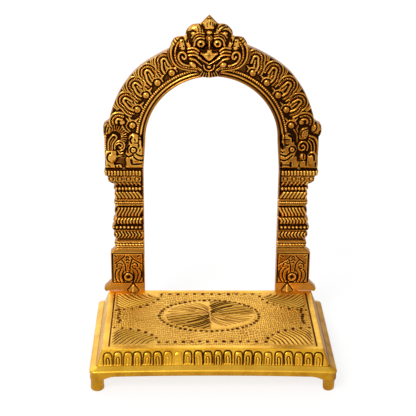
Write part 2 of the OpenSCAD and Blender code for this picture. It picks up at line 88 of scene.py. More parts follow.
class Chasing:
    """A worked face: a height over each grid point (a, b), in millimetres, raised and cut by strokes."""

    def __init__(self, a, b, ground=0.0):
        self.a = a
        self.b = b
        self.ground = ground + np.zeros_like(a)
        self.raised = self.ground.copy()
        self.cut = np.zeros_like(a)

    def near(self, low, high):
        """Grid points inside a rectangle."""
        inside = (self.a > low[0]) & (self.a < high[0]) & (self.b > low[1]) & (self.b < high[1])
        return np.nonzero(inside)

    def reach(self, line, margin):
        """Grid points near a line, their distance from it, and the place along it that is nearest."""
        spots = self.near(line.min(0) - margin, line.max(0) + margin)
        step = np.diff(line, axis=0)
        length = np.hypot(step[:, 0], step[:, 1]) + 1e-9
        away = np.stack([self.a[spots], self.b[spots]], 1)[:, None] - line[:-1]
        share = np.clip((away * step).sum(2) / length**2, 0, 1)
        gap = np.linalg.norm(away - share[..., None] * step, axis=2)
        nearest = gap.argmin(1)[:, None]
        run = np.take_along_axis(share * length + np.cumsum(length) - length, nearest, 1)[:, 0]
        return spots, np.take_along_axis(gap, nearest, 1)[:, 0], run, length.sum()

    def oval(self, centre, across, up, turn):
        """Grid points inside a turned ellipse and 1 - (x / across)^2 - (z / up)^2 at each."""
        size = max(across, up)
        spots = self.near(np.array(centre) - size, np.array(centre) + size)
        c, s = np.cos(np.radians(turn)), np.sin(np.radians(turn))
        a = self.a[spots] - centre[0]
        b = self.b[spots] - centre[1]
        left = 1 - ((a * c + b * s) / across) ** 2 - ((b * c - a * s) / up) ** 2
        return tuple(axis[left > 0] for axis in spots), left[left > 0]

    def ridge(self, line, width, rise, beads=0.0, thin=0.0):
        """Round ridge on a line: rise times 1 - (distance / half width)^2, notched at the beads' pitch."""
        spots, gap, run, length = self.reach(line, width)
        half = width / 2 * (1 - thin * run / length)
        crest = rise * np.clip(1 - (gap / half) ** 2, 0, None)
        if beads:
            crest = crest * (0.5 + 0.5 * np.abs(np.sin(np.pi * run / beads)))
        self.raised[spots] = np.maximum(self.raised[spots], self.ground[spots] + crest)

    def band(self, gap, width, rise, run=0.0, beads=0.0):
        """Moulding over the whole face: rise times 1 - (gap / half width)^2, notched along its run."""
        crest = rise * np.clip(1 - (gap / (width / 2)) ** 2, 0, None)
        if beads:
            crest = crest * (0.4 + 0.6 * np.abs(np.sin(np.pi * run / beads)))
        self.raised = np.maximum(self.raised, self.ground + crest)

    def groove(self, line, width, depth, thin=0.0):
        """Round groove on a line: depth times 1 - (distance / half width)^2."""
        spots, gap, run, length = self.reach(line, width)
        half = width / 2 * (1 - thin * run / length)
        self.cut[spots] = np.maximum(self.cut[spots], depth * np.clip(1 - (gap / half) ** 2, 0, None))

    def field(self, outline, rise, rounding):
        """Raised field inside a closed outline, rounded off towards it: a point is inside where a ray from
        it crosses the outline an odd number of times."""
        spots, gap, _, _ = self.reach(np.vstack([outline, outline[:1]]), 0.0)
        a, b = self.a[spots][:, None], self.b[spots][:, None]
        (a0, b0), (a1, b1) = outline.T, np.roll(outline, -1, axis=0).T
        crossed = ((b0 > b) != (b1 > b)) & (a < (a1 - a0) * (b - b0) / (b1 - b0 + 1e-9) + a0)
        share = np.clip(gap / rounding, 0, 1)
        crest = rise * np.sqrt(1 - (1 - share) ** 2) * (crossed.sum(1) % 2)
        self.raised[spots] = np.maximum(self.raised[spots], self.ground[spots] + crest)

    def boss(self, centre, across, up, rise, turn=0.0):
        """Dome over an ellipse: rise times the square root of 1 - (x / across)^2 - (z / up)^2."""
        spots, left = self.oval(centre, across, up, turn)
        self.raised[spots] = np.maximum(self.raised[spots], self.ground[spots] + rise * np.sqrt(left))

    def pit(self, centre, across, up, depth, turn=0.0):
        """Hollow over an ellipse: depth times 1 - (x / across)^2 - (z / up)^2."""
        spots, left = self.oval(centre, across, up, turn)
        self.cut[spots] = np.maximum(self.cut[spots], depth * left)

    def height(self):
        """Height of the finished face: what was raised less what was cut."""
        return self.raised - self.cut

    def worn(self, cells, depth):
        """How far a point stands above the mean level round it, as a share of full wear; it sets wear with a
        painted highlight.
        """
        return np.clip((self.height() - spread(self.height(), cells)) / depth, 0, 1)

    def recess(self, cells, depth):
        """How far a point lies below the mean level round it, as a share of a full recess."""
        return np.clip((spread(self.height(), cells) - self.height()) / depth, 0, 1)


def casting(name, points, recess, ring=False, crease=50):
    """Closed mesh of a grid in millimetres: columns run round a section, rows along the piece. The end
    rows meet in a ring or are closed by one face each, and all faces are turned to point outwards."""
    rows, columns = points.shape[:2]
    index = np.arange(rows * columns).reshape(rows, columns)
    ends = [] if ring else [index[0], index[-1, ::-1]]
    if ring:
        index = np.vstack([index, index[:1]])
    index = np.hstack([index, index[:, :1]])
    quads = np.stack([index[:-1, :-1], index[1:, :-1], index[1:, 1:], index[:-1, 1:]], 2).reshape(-1, 4)
    flat = points.reshape(-1, 3)
    a, b, c, d = (flat[quads[:, i]] for i in range(4))
    volume = (np.cross(a - flat[0], b - flat[0]) * (c - flat[0])).sum()
    volume += (np.cross(a - flat[0], c - flat[0]) * (d - flat[0])).sum()
    order = 1 if volume > 0 else -1
    faces = [face[::order].tolist() for face in (*quads, *ends)]
    mesh = bpy.data.meshes.new(name)
    mesh.from_pydata((flat * MM).tolist(), [], faces)
    mesh.shade_smooth()
    mesh.set_sharp_from_angle(angle=np.radians(crease))
    layer = mesh.attributes.new("recess", "FLOAT", "POINT")
    layer.data.foreach_set("value", np.clip(recess, 0, 1).astype(np.float32).ravel())
    piece = bpy.data.objects.new(name, mesh)
    bpy.context.scene.collection.objects.link(piece)
    return piece


class Tone:
    """A value on a material's bench: arithmetic on it adds Math nodes there."""

    def __init__(self, bench, socket):
        self.bench = bench
        self.socket = socket

    def math(self, operation, other, swapped=False):
        """A Math node on this value and another one, in that order unless swapped."""
        values = (other, self) if swapped else (self, other)
        return self.bench.node("ShaderNodeMath", {"operation": operation}, dict(enumerate(values)))

    def __add__(self, other):
        return self.math("ADD", other)

    def __sub__(self, other):
        return self.math("SUBTRACT", other)

    def __rsub__(self, other):
        return self.math("SUBTRACT", other, swapped=True)

    def __mul__(self, other):
        return self.math("MULTIPLY", other)

    __radd__ = __add__
    __rmul__ = __mul__


class Bench:
    """A material on which finishes are mixed: one method adds any node, with its settings and sockets."""

    def __init__(self, name):
        self.material = bpy.data.materials.new(name)
        self.material.use_nodes = True
        self.tree = self.material.node_tree
        self.tree.nodes.clear()

    def node(self, kind, settings, sockets, output=0):
        """A node of a kind: its settings are set first, then each socket takes its value or link."""
        made = self.tree.nodes.new(kind)
        for key, value in settings.items():
            if key == "stops":
                stops = made.color_ramp.elements
                while len(stops) < len(value):
                    stops.new(1.0)
                for stop, (place, colour) in zip(stops, value):
                    stop.position = place
                    stop.color = (*colour, 1)
            else:
                setattr(made, key, value)
        for key, value in sockets.items():
            if isinstance(value, Tone):
                self.tree.links.new(value.socket, made.inputs[key])
            else:
                made.inputs[key].default_value = value
        return Tone(self, made.outputs[output] if made.outputs else None)


def brass(name, bright, body, brown, black, roughness, grain, mottle=0.28):
    """Brass worn bright where it stands proud and oxidised dark where it lies deep. The recess attribute,
    which also carries painted highlight, light and shade, and a cloudy noise set the tone; fine noises
    roughen it and give the skin of the casting."""
    recess_share, least_depth, skin_mottle = 0.9, 0.1, 0.16
    recess_rough, cloud_rough, skin_rough = 0.3, 0.16, 0.1
    skin_h = 0.0003
    bench = Bench(name)
    place = bench.node("ShaderNodeTexCoord", {}, {}, "Object")
    recess = bench.node("ShaderNodeAttribute", {"attribute_name": "recess"}, {}, "Fac")
    cloud = bench.node("ShaderNodeTexNoise", {}, {"Vector": place, "Scale": 70.0, "Detail": 5.0})
    skin = bench.node("ShaderNodeTexNoise", {}, {"Vector": place, "Scale": 620.0, "Detail": 3.0})
    depth = recess * recess_share + least_depth + (cloud - 0.5) * mottle + (skin - 0.5) * skin_mottle
    stops = [(0.0, bright), (0.24, body), (0.56, brown), (0.85, black)]
    colour = bench.node("ShaderNodeValToRGB", {"stops": stops}, {"Fac": depth})
    rough = recess * recess_rough + (cloud - 0.5) * cloud_rough + (skin - 0.5) * skin_rough + roughness
    bump = bench.node("ShaderNodeBump", {}, {"Strength": grain, "Distance": skin_h, "Height": skin})
    sockets = {"Base Color": colour, "Roughness": rough, "Metallic": 1.0, "Normal": bump}
    shader = bench.node("ShaderNodeBsdfPrincipled", {}, sockets)
    bench.node("ShaderNodeOutputMaterial", {}, {"Surface": shader})
    return bench.material


def fit(piece, finish, body, node):
    """Finish a piece, let it ride on its body and let it stand for its node."""
    piece.data.materials.append(finish)
    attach(piece, body)
    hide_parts(node)


def plain_box(node):
    """Lowest and highest corner of a piece of the frame, in millimetres."""
    low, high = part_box(node)
    return np.array(low) / MM, np.array(high) / MM


base_high = plain_box("base_frame")[1]
ledge_w = 5.0
block_batter = 4.5
border_w = 4.0
top_z = plain_box("left_socket")[1][2]
top_half = base_high[:2] - ledge_w - block_batter
front_bow = 1.2
bow_z = (6.0, 12.0)
corner_r = 1.3
corner_growth = 0.3
least_corner_r = 0.3


def bowed(x, y):
    """Rise of the hand-filed top: highest at the middle of the front, falling off with the square of x."""
    forward = np.clip(0.5 - y / (2 * top_half[1]), 0, 1)
    return front_bow * forward * np.clip(1 - (x / top_half[0]) ** 2, -0.3, 1)


def rectangle_stations(front_steps, side_steps, corner_steps):
    """Places round a rounded rectangle, from the front: shares of the straight sides and unit normals."""
    counts = [front_steps, side_steps, side_steps * 2, side_steps]
    shares = []
    normals = []
    for quarter, count in enumerate(counts):
        turn = quarter * np.pi / 2
        across = np.array([np.cos(turn), np.sin(turn)])
        out = np.array([np.sin(turn), -np.cos(turn)])
        along = np.linspace(-1, 1, count)[:, None]
        shares.append(along * across + out)
        normals.append(np.repeat(out[None], count, 0))
        sweep = turn + np.linspace(0, np.pi / 2, corner_steps + 2)[1:-1]
        shares.append(np.repeat((across + out)[None], corner_steps, 0))
        normals.append(np.stack([np.sin(sweep), -np.cos(sweep)], 1))
    return np.vstack(shares), np.vstack(normals)


slope_steps = 40
slope_h = 10.7
slope_start = 0.35
slope_stop = block_batter - 0.1
edge_drop = 0.25
slope_out = np.linspace(slope_start, slope_stop, slope_steps)
slope_z = top_z - edge_drop - (slope_out - slope_start) / (slope_stop - slope_start) * slope_h
# The casting's section, as distances out from the top's edge and heights: border, slope, ledge, rim, hollow.
border = [[-border_w, top_z - 2.5], [-border_w, top_z], [-1.5, top_z], [-0.3, top_z], [0.1, top_z - 0.08]]
ledge = [[4.7, 18.8], [5.2, 18.45], [6.2, 17.95], [7.4, 17.4], [8.5, 16.9], [9.1, 16.55], [9.42, 16.1]]
rim = [[9.5, 15.5], [9.3, 14.9], [9.0, 14.3], [8.95, 13.4], [9.1, 12.7], [8.9, 12.2], [8.4, 12.0]]
hollow = [
    [5.0, 12.0], [1.9, 12.0], [1.5, 12.3], [1.5, 15.0], [1.5, 18.0], [0.2, 21.5], [-1.1, 25.0],
    [-6.0, 25.0],
    [-10, 25.0], [-10, 27.5],
]
profile = np.vstack([border, np.stack([slope_out, slope_z], 1), ledge, rim, hollow])
slope_first = len(border)
shares, normals = rectangle_stations(front_steps=560, side_steps=70, corner_steps=9)
out = profile[:, 0]
corner = np.clip(corner_r + corner_growth * out, least_corner_r, None)
pedestal = np.zeros((len(shares), len(profile), 3))
pedestal[..., 0] = shares[:, :1] * (top_half[0] + out - corner) + normals[:, :1] * corner
pedestal[..., 1] = shares[:, 1:] * (top_half[1] + out - corner) + normals[:, 1:] * corner
pedestal[..., 2] = profile[:, 1]
# A bracket draws the rim's lower edge down towards each foot.
foot_low, foot_high = plain_box("rear_right_foot")
foot_x, foot_y, _ = np.round((foot_low + foot_high) / 2, 3)
bracket_start = 4.0
bracket_w = 10.5
bracket_drop = 4.0
bracket_z = (13.4, 12.0)
inside_out = 1.6
away = np.hypot(np.abs(pedestal[..., 0]) - foot_x, np.abs(pedestal[..., 1]) - foot_y)
bracket = np.clip(1 - (away - bracket_start) / bracket_w, 0, 1) ** 2 * eased(*bracket_z, pedestal[..., 2])
pedestal[..., 2] -= bracket_drop * bracket * (out > inside_out)
pedestal[..., 2] += bowed(pedestal[..., 0], pedestal[..., 1]) * eased(*bow_z, pedestal[..., 2])

# Petals: a hood, a slot inside it and a raised lip between them; one petal is worn almost away.
petal_count = 22
petal_pitch = 7.26
petal_w = 5.9
petal_head = 3.3
petal_foot = 11.2
slot_w = 2.1
hood_w, hood_depth = 1.2, 0.8
slit_w, slit_depth = 1.0, 0.7
lip_w, lip_rise = 1.6, 0.35
worn_petal = 7
worn_share = 0.7
worn_reach = 0.9
petal_faint = np.random.default_rng(7)
front = (normals[:, 1] < -0.99)[:, None] & np.ones(len(profile), bool)
drop = run_along(profile)
lotus = Chasing(pedestal[..., 0], np.where(front, drop - drop[slope_first], -99.0))
for i in range(petal_count):
    x = (i - (petal_count - 1) / 2) * petal_pitch + petal_faint.uniform(-0.35, 0.35)
    half = petal_w / 2 + petal_faint.uniform(-0.3, 0.2)
    head = petal_head + petal_faint.uniform(-0.4, 0.6)
    foot = petal_foot + petal_faint.uniform(-0.5, 0.3)
    wear = 1 - worn_share * np.exp(-((i - worn_petal) / worn_reach) ** 2)
    force = petal_faint.uniform(0.5, 1.0) * wear
    sway = petal_faint.uniform(-0.4, 0.4)
    cheek = half * petal_faint.uniform(0.62, 0.78)
    lotus.groove(curve(
        (x - half + sway, foot), (x - half, head + 1.6), (x - cheek, head - 0.8), (x, head - 1.3),
        (x + cheek, head - 0.8), (x + half, head + 1.6), (x + half + sway, foot)
    ), hood_w, hood_depth * force)
    slit = slot_w / 2
    lotus.groove(curve(
        (x - slit + sway, foot), (x - slit, head + 3.8), (x, head + 2.5), (x + slit, head + 3.8),
        (x + slit + sway, foot)
    ), slit_w, slit_depth * petal_faint.uniform(0.35, 1.0) * wear)
    lotus.ridge(arc((x, head + 1.6), half - 1.1, 195, 345, flat=0.9), lip_w, lip_rise)
pedestal[..., :2] += normals[:, None] * lotus.height()[..., None]
# Tarnish: black in the cuts, brown along the slope's foot and on the rim; painted shade on the right-hand
# side and painted light on the left.
black_depth = 0.6
corner_tarnish = 0.45
rim_tarnish = 0.27
slope_tarnish = 0.13
right_painted_shade = 0.28
left_painted_light = 0.07
outside = out > 0
pedestal_tone = np.clip(lotus.cut / black_depth, 0, 1) * np.where(front, 1, 0)
inner_corner = eased(0.7, 0.0, np.abs(drop - drop[slope_first + slope_steps]))
level = profile[:, 1]
rim_wear = rim_tarnish * eased(16.4, 15.6, level) + slope_tarnish * eased(18.8, 19.4, level) * outside
# Painted light and shade: the right-hand side darker and the left-hand side lighter, as the light falls from
# the left.
side_painted_light = np.where(normals[:, :1] > 0, right_painted_shade, -left_painted_light) * np.abs(normals[:, :1]) * outside
pedestal_tone = np.maximum(pedestal_tone, np.maximum(corner_tarnish * inner_corner, rim_wear) + side_painted_light)
base_brass = brass(
    "base_brass", bright=(0.95, 0.56, 0.06), body=(0.66, 0.33, 0.02), brown=(0.24, 0.085, 0.006),
    black=(0.045, 0.014, 0.003), roughness=0.34, grain=0.25, mottle=0.42
)
pedestal_piece = casting("pedestal", pedestal, pedestal_tone, ring=True)
fit(pedestal_piece, base_brass, "base", "base_frame")

# Top plate: brass sheet let into the pedestal's top and worked by hand with punches and a graver.
# A ring of dots holds four fans, a fan fills each corner, and the ground is matted all over.
plate_grid = 0.4
plate_low, plate_high = plain_box("top_plate")
plate_count = ((plate_high - plate_low) / plate_grid).astype(int)
plate_x = np.linspace(plate_low[0], plate_high[0], plate_count[0])
plate_y = np.linspace(plate_low[1], plate_high[1], plate_count[1])
plate_a, plate_b = np.meshgrid(plate_x, plate_y, indexing="ij")
sheet = Chasing(plate_a, plate_b)
graver = np.random.default_rng(11)
ring_centre = np.array([-1.5, 4.6])
ring_size = np.array([38.0, 26.3])
fan_heart = np.array([-0.9, 6.5])
ring_pitch = 4.0
dot_r = 1.5
dot_depth = 1.2
dot_stretch = 1.35


def punch_line(face, line, pitch, radius, depth, dice):
    """A row of round punch marks at a pitch along a line, each moved a little at random."""
    along = run_along(line)
    for place in np.arange(pitch / 2, along[-1], pitch):
        spot = [np.interp(place, along, line[:, i]) + dice.uniform(-0.3, 0.3) for i in (0, 1)]
        size = radius * dice.uniform(0.75, 1.15)
        face.pit(spot, size, size * dot_stretch, depth * dice.uniform(0.6, 1.0))


def matting(face, pitch, length, depth, seed):
    """Depth of a matted ground: waving rows of short punch strokes, each row a third of a pitch on from the
    last and each stroke moved at random; a point takes 1 - (distance / half size)^2 of the nearest one."""
    draws = 128
    row_shift = 0.36
    sway, ripple, wave = 1.4, 0.8, 2.6
    shift = np.random.default_rng(seed).uniform(-0.12, 0.12, (2, draws, draws))
    wavy_a = face.a + sway * np.sin(face.b / 5.1 + face.a / 17.0) + ripple * np.sin(face.a / 7.0)
    wavy_b = face.b + wave * np.sin(face.a / 6.4 + face.b / 21.0)
    row = np.floor(wavy_b / length).astype(int)
    gap = np.ones(face.a.shape)
    for up in (-1, 0, 1):
        j = row + up
        stagger = row_shift * j
        column = np.floor(wavy_a / pitch - stagger).astype(int)
        for side in (-1, 0, 1):
            i = column + side
            a = wavy_a / pitch - (i + 0.5 + stagger + shift[0, i % draws, j % draws])
            b = wavy_b / length - (j + 0.5 + shift[1, i % draws, j % draws])
            gap = np.minimum(gap, 2 * np.hypot(a, b))
    return depth * np.clip(1 - gap**2, 0, None)


ring_line = ring_centre + arc((0, 0), 1.0, 0, 360, steps=90) * ring_size
punch_line(sheet, ring_line, ring_pitch, dot_r, dot_depth, graver)
# Two opposite fans are cut deep with slanted strokes and the other two only scratched.
deep_strokes = [
    [(1.1, 20.5), (5.5, 24.0)],
    [(0.2, 14.0), (6.0, 19.6), (12.6, 22.8)],
    [(1.2, 12.0), (8.0, 17.6), (16.4, 21.6)],
    [(1.4, 9.4), (9.6, 15.8), (20.4, 20.4)],
    [(0.6, 3.9), (4.0, 8.2), (13.0, 13.0), (25.6, 18.2)],
    [(2.6, 1.8), (8.0, 5.6), (17.0, 9.6), (29.4, 14.2)],
    [(8.0, 2.6), (18.0, 5.6), (31.6, 9.8)],
    [(15.0, 1.2), (23.0, 2.8), (32.4, 5.6)],
]
shallow_strokes = [
    [(-0.6, 2.0), (-7.0, 7.5), (-22.0, 14.5)],
    [(-1.4, 1.4), (-9.0, 5.2), (-27.0, 11.5)],
    [(-2.4, 1.0), (-12.0, 3.4), (-30.0, 8.0)],
    [(-4.5, 0.8), (-15.0, 1.8), (-32.0, 4.6)],
    [(-1.0, 5.0), (-5.5, 11.5), (-15.0, 17.5)],
    [(-0.6, 9.5), (-3.5, 14.5), (-8.5, 18.8)],
    [(-9.0, 0.2), (-18.0, -0.2), (-30.0, 1.2)],
    [(-1.6, 3.2), (-8.0, 9.4), (-19.0, 16.4)],
    [(-1.2, 7.4), (-5.0, 13.6), (-12.0, 19.6)],
    [(-12.0, 4.6), (-20.0, 7.6), (-29.0, 10.0)],
    [(-11.0, 7.8), (-17.0, 10.8), (-25.0, 13.4)],
]
deep_rib = [(0.9, 0.8), (3.0, 4.5), (9.5, 9.5), (17.0, 13.2)]
shallow_rib = [(-0.8, 0.9), (-2.6, 4.4), (-8.5, 8.8), (-16.0, 11.8)]
deep_w, deep_depth = 1.8, 0.8
burr_w, burr_rise = 1.6, 0.4
shallow_w, shallow_depth = 1.2, 0.34
burr_shift = (0.7, -1.5)
for half_turn in (1, -1):
    for stroke in deep_strokes:
        sheet.groove(fan_heart + half_turn * curve(*stroke), deep_w, deep_depth)
        sheet.ridge(fan_heart + half_turn * curve(*stroke) + burr_shift, burr_w, burr_rise)
    for stroke in shallow_strokes:
        sheet.groove(fan_heart + half_turn * curve(*stroke), shallow_w, shallow_depth)
    sheet.groove(fan_heart + half_turn * curve(*deep_rib), 1.5, 0.7)
    sheet.groove(fan_heart + half_turn * curve(*shallow_rib), 1.2, 0.55)
# Corner fans: slanting strokes fill the quarter of an oval, and dots follow its edge.
plate_corner = np.array([74.5, 42.5])
corner_reach = np.array([36.0, 28.0])
corner_inset = 1.4
corner_fill = 0.92
stroke_pitch = 2.9
stroke_bow = 0.09
corner_w = 1.5
corner_thin = 0.3
corner_burr_w = 1.4
corner_burr_shift = (1.1, -0.9)
corner_dot_pitch = 6.4


def corner_strokes(slant, pitch):
    """Strokes across a corner: parallel slanted lines, a pitch apart, each cut to the quarter of an oval and
    bowed by a part of its length."""
    turn = np.radians(slant)
    ahead = np.array([np.cos(turn), np.sin(turn)])
    beside = np.array([-ahead[1], ahead[0]])
    along = np.linspace(-40, 60, 401)[:, None]
    for offset in np.arange(-30, 30, pitch):
        line = offset * beside + along * ahead
        inside = (line > corner_inset).all(1) & (np.hypot(*(line / corner_reach).T) < corner_fill)
        if inside.sum() > 20:
            first, last = line[inside][[0, -1]]
            yield curve(last, (first + last) / 2 + stroke_bow * np.hypot(*(last - first)) * beside, first)


for side, end, slant, depth in ((-1, -1, 48, 0.6), (1, -1, 60, 0.6), (1, 1, 40, 0.75), (-1, 1, 42, 0.65)):
    corner_spot = plate_corner * (side, end)
    for stroke in corner_strokes(slant, stroke_pitch):
        cut_depth = depth * graver.uniform(0.7, 1.0)
        sheet.groove(corner_spot - stroke * (side, end), corner_w, cut_depth, corner_thin)
        sheet.ridge(corner_spot - (stroke + corner_burr_shift) * (side, end), corner_burr_w, burr_rise)
    rim_line = corner_spot + arc((0, 0), 1.0, 2, 88) * corner_reach * (-side, -end)
    punch_line(sheet, rim_line, corner_dot_pitch, dot_r, dot_depth, graver)
for line, pitch in (
    (np.array([[-36.0, -38.5], [34.0, -37.8]]), 5.9),
    (np.array([[-42.0, 41.8], [36.0, 42.0]]), 6.6),
    (curve((-71.3, 17.0), (-69.6, 10.5), (-71.0, 4.0), (-69.4, -2.5), (-70.6, -9.0)), 3.6),
    (curve((70.3, 19.0), (68.6, 12.0), (70.0, 5.5), (68.4, -1.0), (69.6, -7.5)), 3.6),
):
    punch_line(sheet, line, pitch, dot_r, dot_depth, graver)
mat_pitch = 1.7
mat_length = 3.6
mat_depth = 0.5
mat_seed = 5
plate_ab = np.stack([plate_a, plate_b], 2)
in_ring = np.hypot(*np.moveaxis((plate_ab - ring_centre) / (ring_size - 2), 2, 0))
in_corner = np.hypot(*np.moveaxis((plate_corner - np.abs(plate_ab)) / corner_reach, 2, 0))
plain = eased(0.93, 1.0, in_ring) * eased(0.9, 0.97, in_corner)
matted = matting(sheet, mat_pitch, mat_length, mat_depth, mat_seed) * (sheet.cut < 0.1) * plain
# Tarnish: dark in the cuts and the seam and brown over the deep fans; painted light lightens the plate
# towards the left.
seam_depth = 0.7
fan_tarnish = 0.3
fan_corner_tarnish = 0.14
mat_tarnish = 0.4
cut_tarnish = 0.85
seam_tarnish = 0.7
ring_tarnish = 0.1
plate_tarnish = 0.03
plate_left_light = 0.09
ring_inside = eased(1.0, 0.9, in_ring)
deep_side = eased(-8.0, 8.0, (plate_a - fan_heart[0]) * (plate_b - fan_heart[1]))
stroked = fan_tarnish * ring_inside * deep_side
stroked = stroked + fan_corner_tarnish * eased(1.0, 0.9, in_corner) * (1 - sheet.worn(4, 0.2))
seam = eased(74.4, 75.3, np.abs(plate_a))
sheet.cut = np.maximum(sheet.cut, matted)
cut_share = np.clip(sheet.cut / black_depth, 0, 1)
plate_tone = np.where(matted > 0, mat_tarnish * matted / mat_depth, cut_tarnish * cut_share)
plate_tone = np.maximum(plate_tone, seam_tarnish * seam) + stroked * (1 - sheet.worn(4, 0.25))
plate_tone = plate_tone + plate_tarnish + ring_tarnish * ring_inside
# Painted light: the plate lighter towards the left, where the light falls.
plate_tone = plate_tone - plate_left_light * eased(-25.0, -60.0, plate_a)
plate_points = np.zeros((len(plate_x), len(plate_y) + 2, 3))
plate_points[:, :-2, 0] = plate_a
plate_points[:, :-2, 1] = plate_b
plate_points[:, :-2, 2] = top_z + bowed(plate_a, plate_b) + sheet.height() - seam_depth * seam
plate_points[:, -2:, 0] = plate_x[:, None]
plate_points[:, -2:, 1] = plate_high[1], plate_low[1]
plate_points[:, -2:, 2] = plate_low[2]
chased_brass = brass(
    "chased_brass", bright=(0.94, 0.6, 0.115), body=(0.8, 0.44, 0.05), brown=(0.32, 0.12, 0.012),
    black=(0.07, 0.02, 0.003), roughness=0.4, grain=0.2, mottle=0.34
)
plate_piece = casting("chased_plate", plate_points, np.pad(plate_tone, ((0, 0), (0, 2))))
fit(plate_piece, chased_brass, "base", "top_plate")

# Feet: four short cast brass posts with soft soles, each soldered by a spigot into the rim, which a bracket
# draws down to it. The front right one is filed to a taper; no two are quite alike.
foot_profile = np.array([
    [3.6, 0.0], [4.3, 0.15], [4.75, 0.55], [4.95, 1.1], [5.0, 2.0], [4.9, 3.2], [4.78, 4.6], [4.75, 6.0],
    [4.8, 7.2], [4.9, 8.2], [5.0, 9.0], [5.1, 9.8], [5.1, 10.8], [5.0, 12.3],
])
foot_h = 12.0
foot_tarnish = 0.3
foot_wobble = 0.02
foot_turn = np.linspace(0, 2 * np.pi, 72, endpoint=False)
foot_tapers = {
    "front_left_foot": 0.0, "front_right_foot": 0.2, "rear_left_foot": 0.05, "rear_right_foot": 0.08,
}
for node, taper in foot_tapers.items():
    foot_low, foot_high = plain_box(node)
    middle = (foot_low + foot_high) / 2
    draw = 1 - taper * (1 - foot_profile[:, 1:] / foot_h) + foot_wobble * np.sin(3 * foot_turn + 40 * taper)
    foot_points = np.zeros((len(foot_profile), len(foot_turn), 3))
    foot_points[..., 0] = middle[0] + foot_profile[:, :1] * draw * np.cos(foot_turn)
    foot_points[..., 1] = middle[1] + foot_profile[:, :1] * draw * np.sin(foot_turn)
    foot_points[..., 2] = foot_profile[:, 1:]
    foot_recess = np.full((len(foot_profile), len(foot_turn)), foot_tarnish)
    foot_piece = casting(node + "_post", foot_points, foot_recess)
    fit(foot_piece, base_brass, "base", node)

# Sockets and their rivets: two filed brass wedges on the rear ledge, each bored for one of the arch's pegs
# and held by two plain rivets that go through the rear wall.
fixing_brass = brass(
    "fixing_brass", bright=(0.7, 0.36, 0.05), body=(0.48, 0.22, 0.02), brown=(0.18, 0.06, 0.006),
    black=(0.04, 0.012, 0.002), roughness=0.36, grain=0.25
)


def refinish(finish, *nodes):
    """Give pieces that keep their solids a new finish."""
    for node in nodes:
        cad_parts[node].data.materials.clear()
        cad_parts[node].data.materials.append(finish)


refinish(fixing_brass, "left_socket", "right_socket", "socket_rivets")

# Pillars: two cast brass shafts, ringed and chased all over the front, on square engraved blocks. Each is
# filed flat at the back and towards the opening, stands on a spurred foot and is dowelled into the arch.
arch_brass = brass(
    "arch_brass", bright=(1.0, 0.57, 0.11), body=(0.54, 0.23, 0.028), brown=(0.17, 0.053, 0.007),
    black=(0.022, 0.007, 0.002), roughness=0.28, grain=0.25
)
pillar_low, pillar_high = plain_box("right_pillar")
inner_x = round(pillar_low[0], 3)
back_y = round(pillar_high[1], 3)
seat_h = round(pillar_high[2] - top_z, 3)
pillar_rows = 360
pillar_columns = 86
strip_w = 1.6
edge_inset = 0.2
pillar_edge = np.array([
    (0, 31.6), (1.4, 32.4), (2.5, 31.6), (4, 29.6), (6, 27.5), (6.6, 26.5), (32.3, 26.5), (36, 22.2),
    (36.6, 21.6), (88.8, 21.6), (90, 23.4), (92.2, 27), (97, 27.6), (97.4, 29.4), (101.1, 30), (101.5, 29.6),
])
pillar_rings = [
    (36.6, 42.6, 1.9), (44.4, 50.4, 2.4), (50.8, 56.4, 3.4), (56.8, 62.4, 2.4), (63.6, 70.6, 1.3),
    (71.8, 77.2, 1.5), (78.2, 83.8, 1.1), (84.6, 88.2, 1.6),
]
pillar_face = np.array([
    (0, 48.7), (5.6, 49.9), (6.4, 49.2), (6.6, 49.0), (32.3, 49.0), (36, 50.3), (88.8, 50.4),
    (92.2, 49.2), (97, 48.9), (97.6, 48.5), (101.5, 48.5),
])
q = np.linspace(0, seat_h, pillar_rows)
bulge = np.zeros(pillar_rows)
for low, high, size in pillar_rings:
    share = (q - (low + high) / 2) / ((high - low) / 2)
    bulge = np.maximum(bulge, size * np.sqrt(np.clip(1 - share**2, 0, None)))
edge_p = np.interp(q, *pillar_edge.T) + bulge
p = np.linspace(0, 1, pillar_columns) * edge_p[:, None]
q_grid = np.repeat(q[:, None], pillar_columns, 1)
shaft = Chasing(p, q_grid)


def row_of(low, high, pitch):
    """Places along a band, one each pitch, from the opening's plain strip out to the edge."""
    return np.arange(strip_w + pitch / 2, np.interp((low + high) / 2, q, edge_p) - edge_inset, pitch)


def rounded(size, gap):
    """Drop of a rounded edge: its radius less the root of radius^2 - (radius - distance to the edge)^2."""
    return size - np.sqrt(np.clip(size**2 - np.clip(size - gap, 0, None) ** 2, 0, None))


def walled(across, front_y, side_steps, back_steps, home_steps):
    """Sections closed behind a worked front: straight back along the outer side, in along the flat back
    and forward again along the inner side."""
    outer, inner = across[:, -1:], across[:, :1]
    outer_y, inner_y = front_y[:, -1:], front_y[:, :1]
    side = np.linspace(0, 1, side_steps + 1)[1:]
    back = np.linspace(0, 1, back_steps + 1)[1:]
    home = np.linspace(0, 1, home_steps + 2)[1:-1]
    section = [across, outer + 0 * side, outer + (inner - outer) * back, inner + 0 * home]
    section_y = [
        front_y, outer_y + (back_y - outer_y) * side, back_y + 0 * outer * back,
        back_y + (inner_y - back_y) * home,
    ]
    return np.hstack(section), np.hstack(section_y)


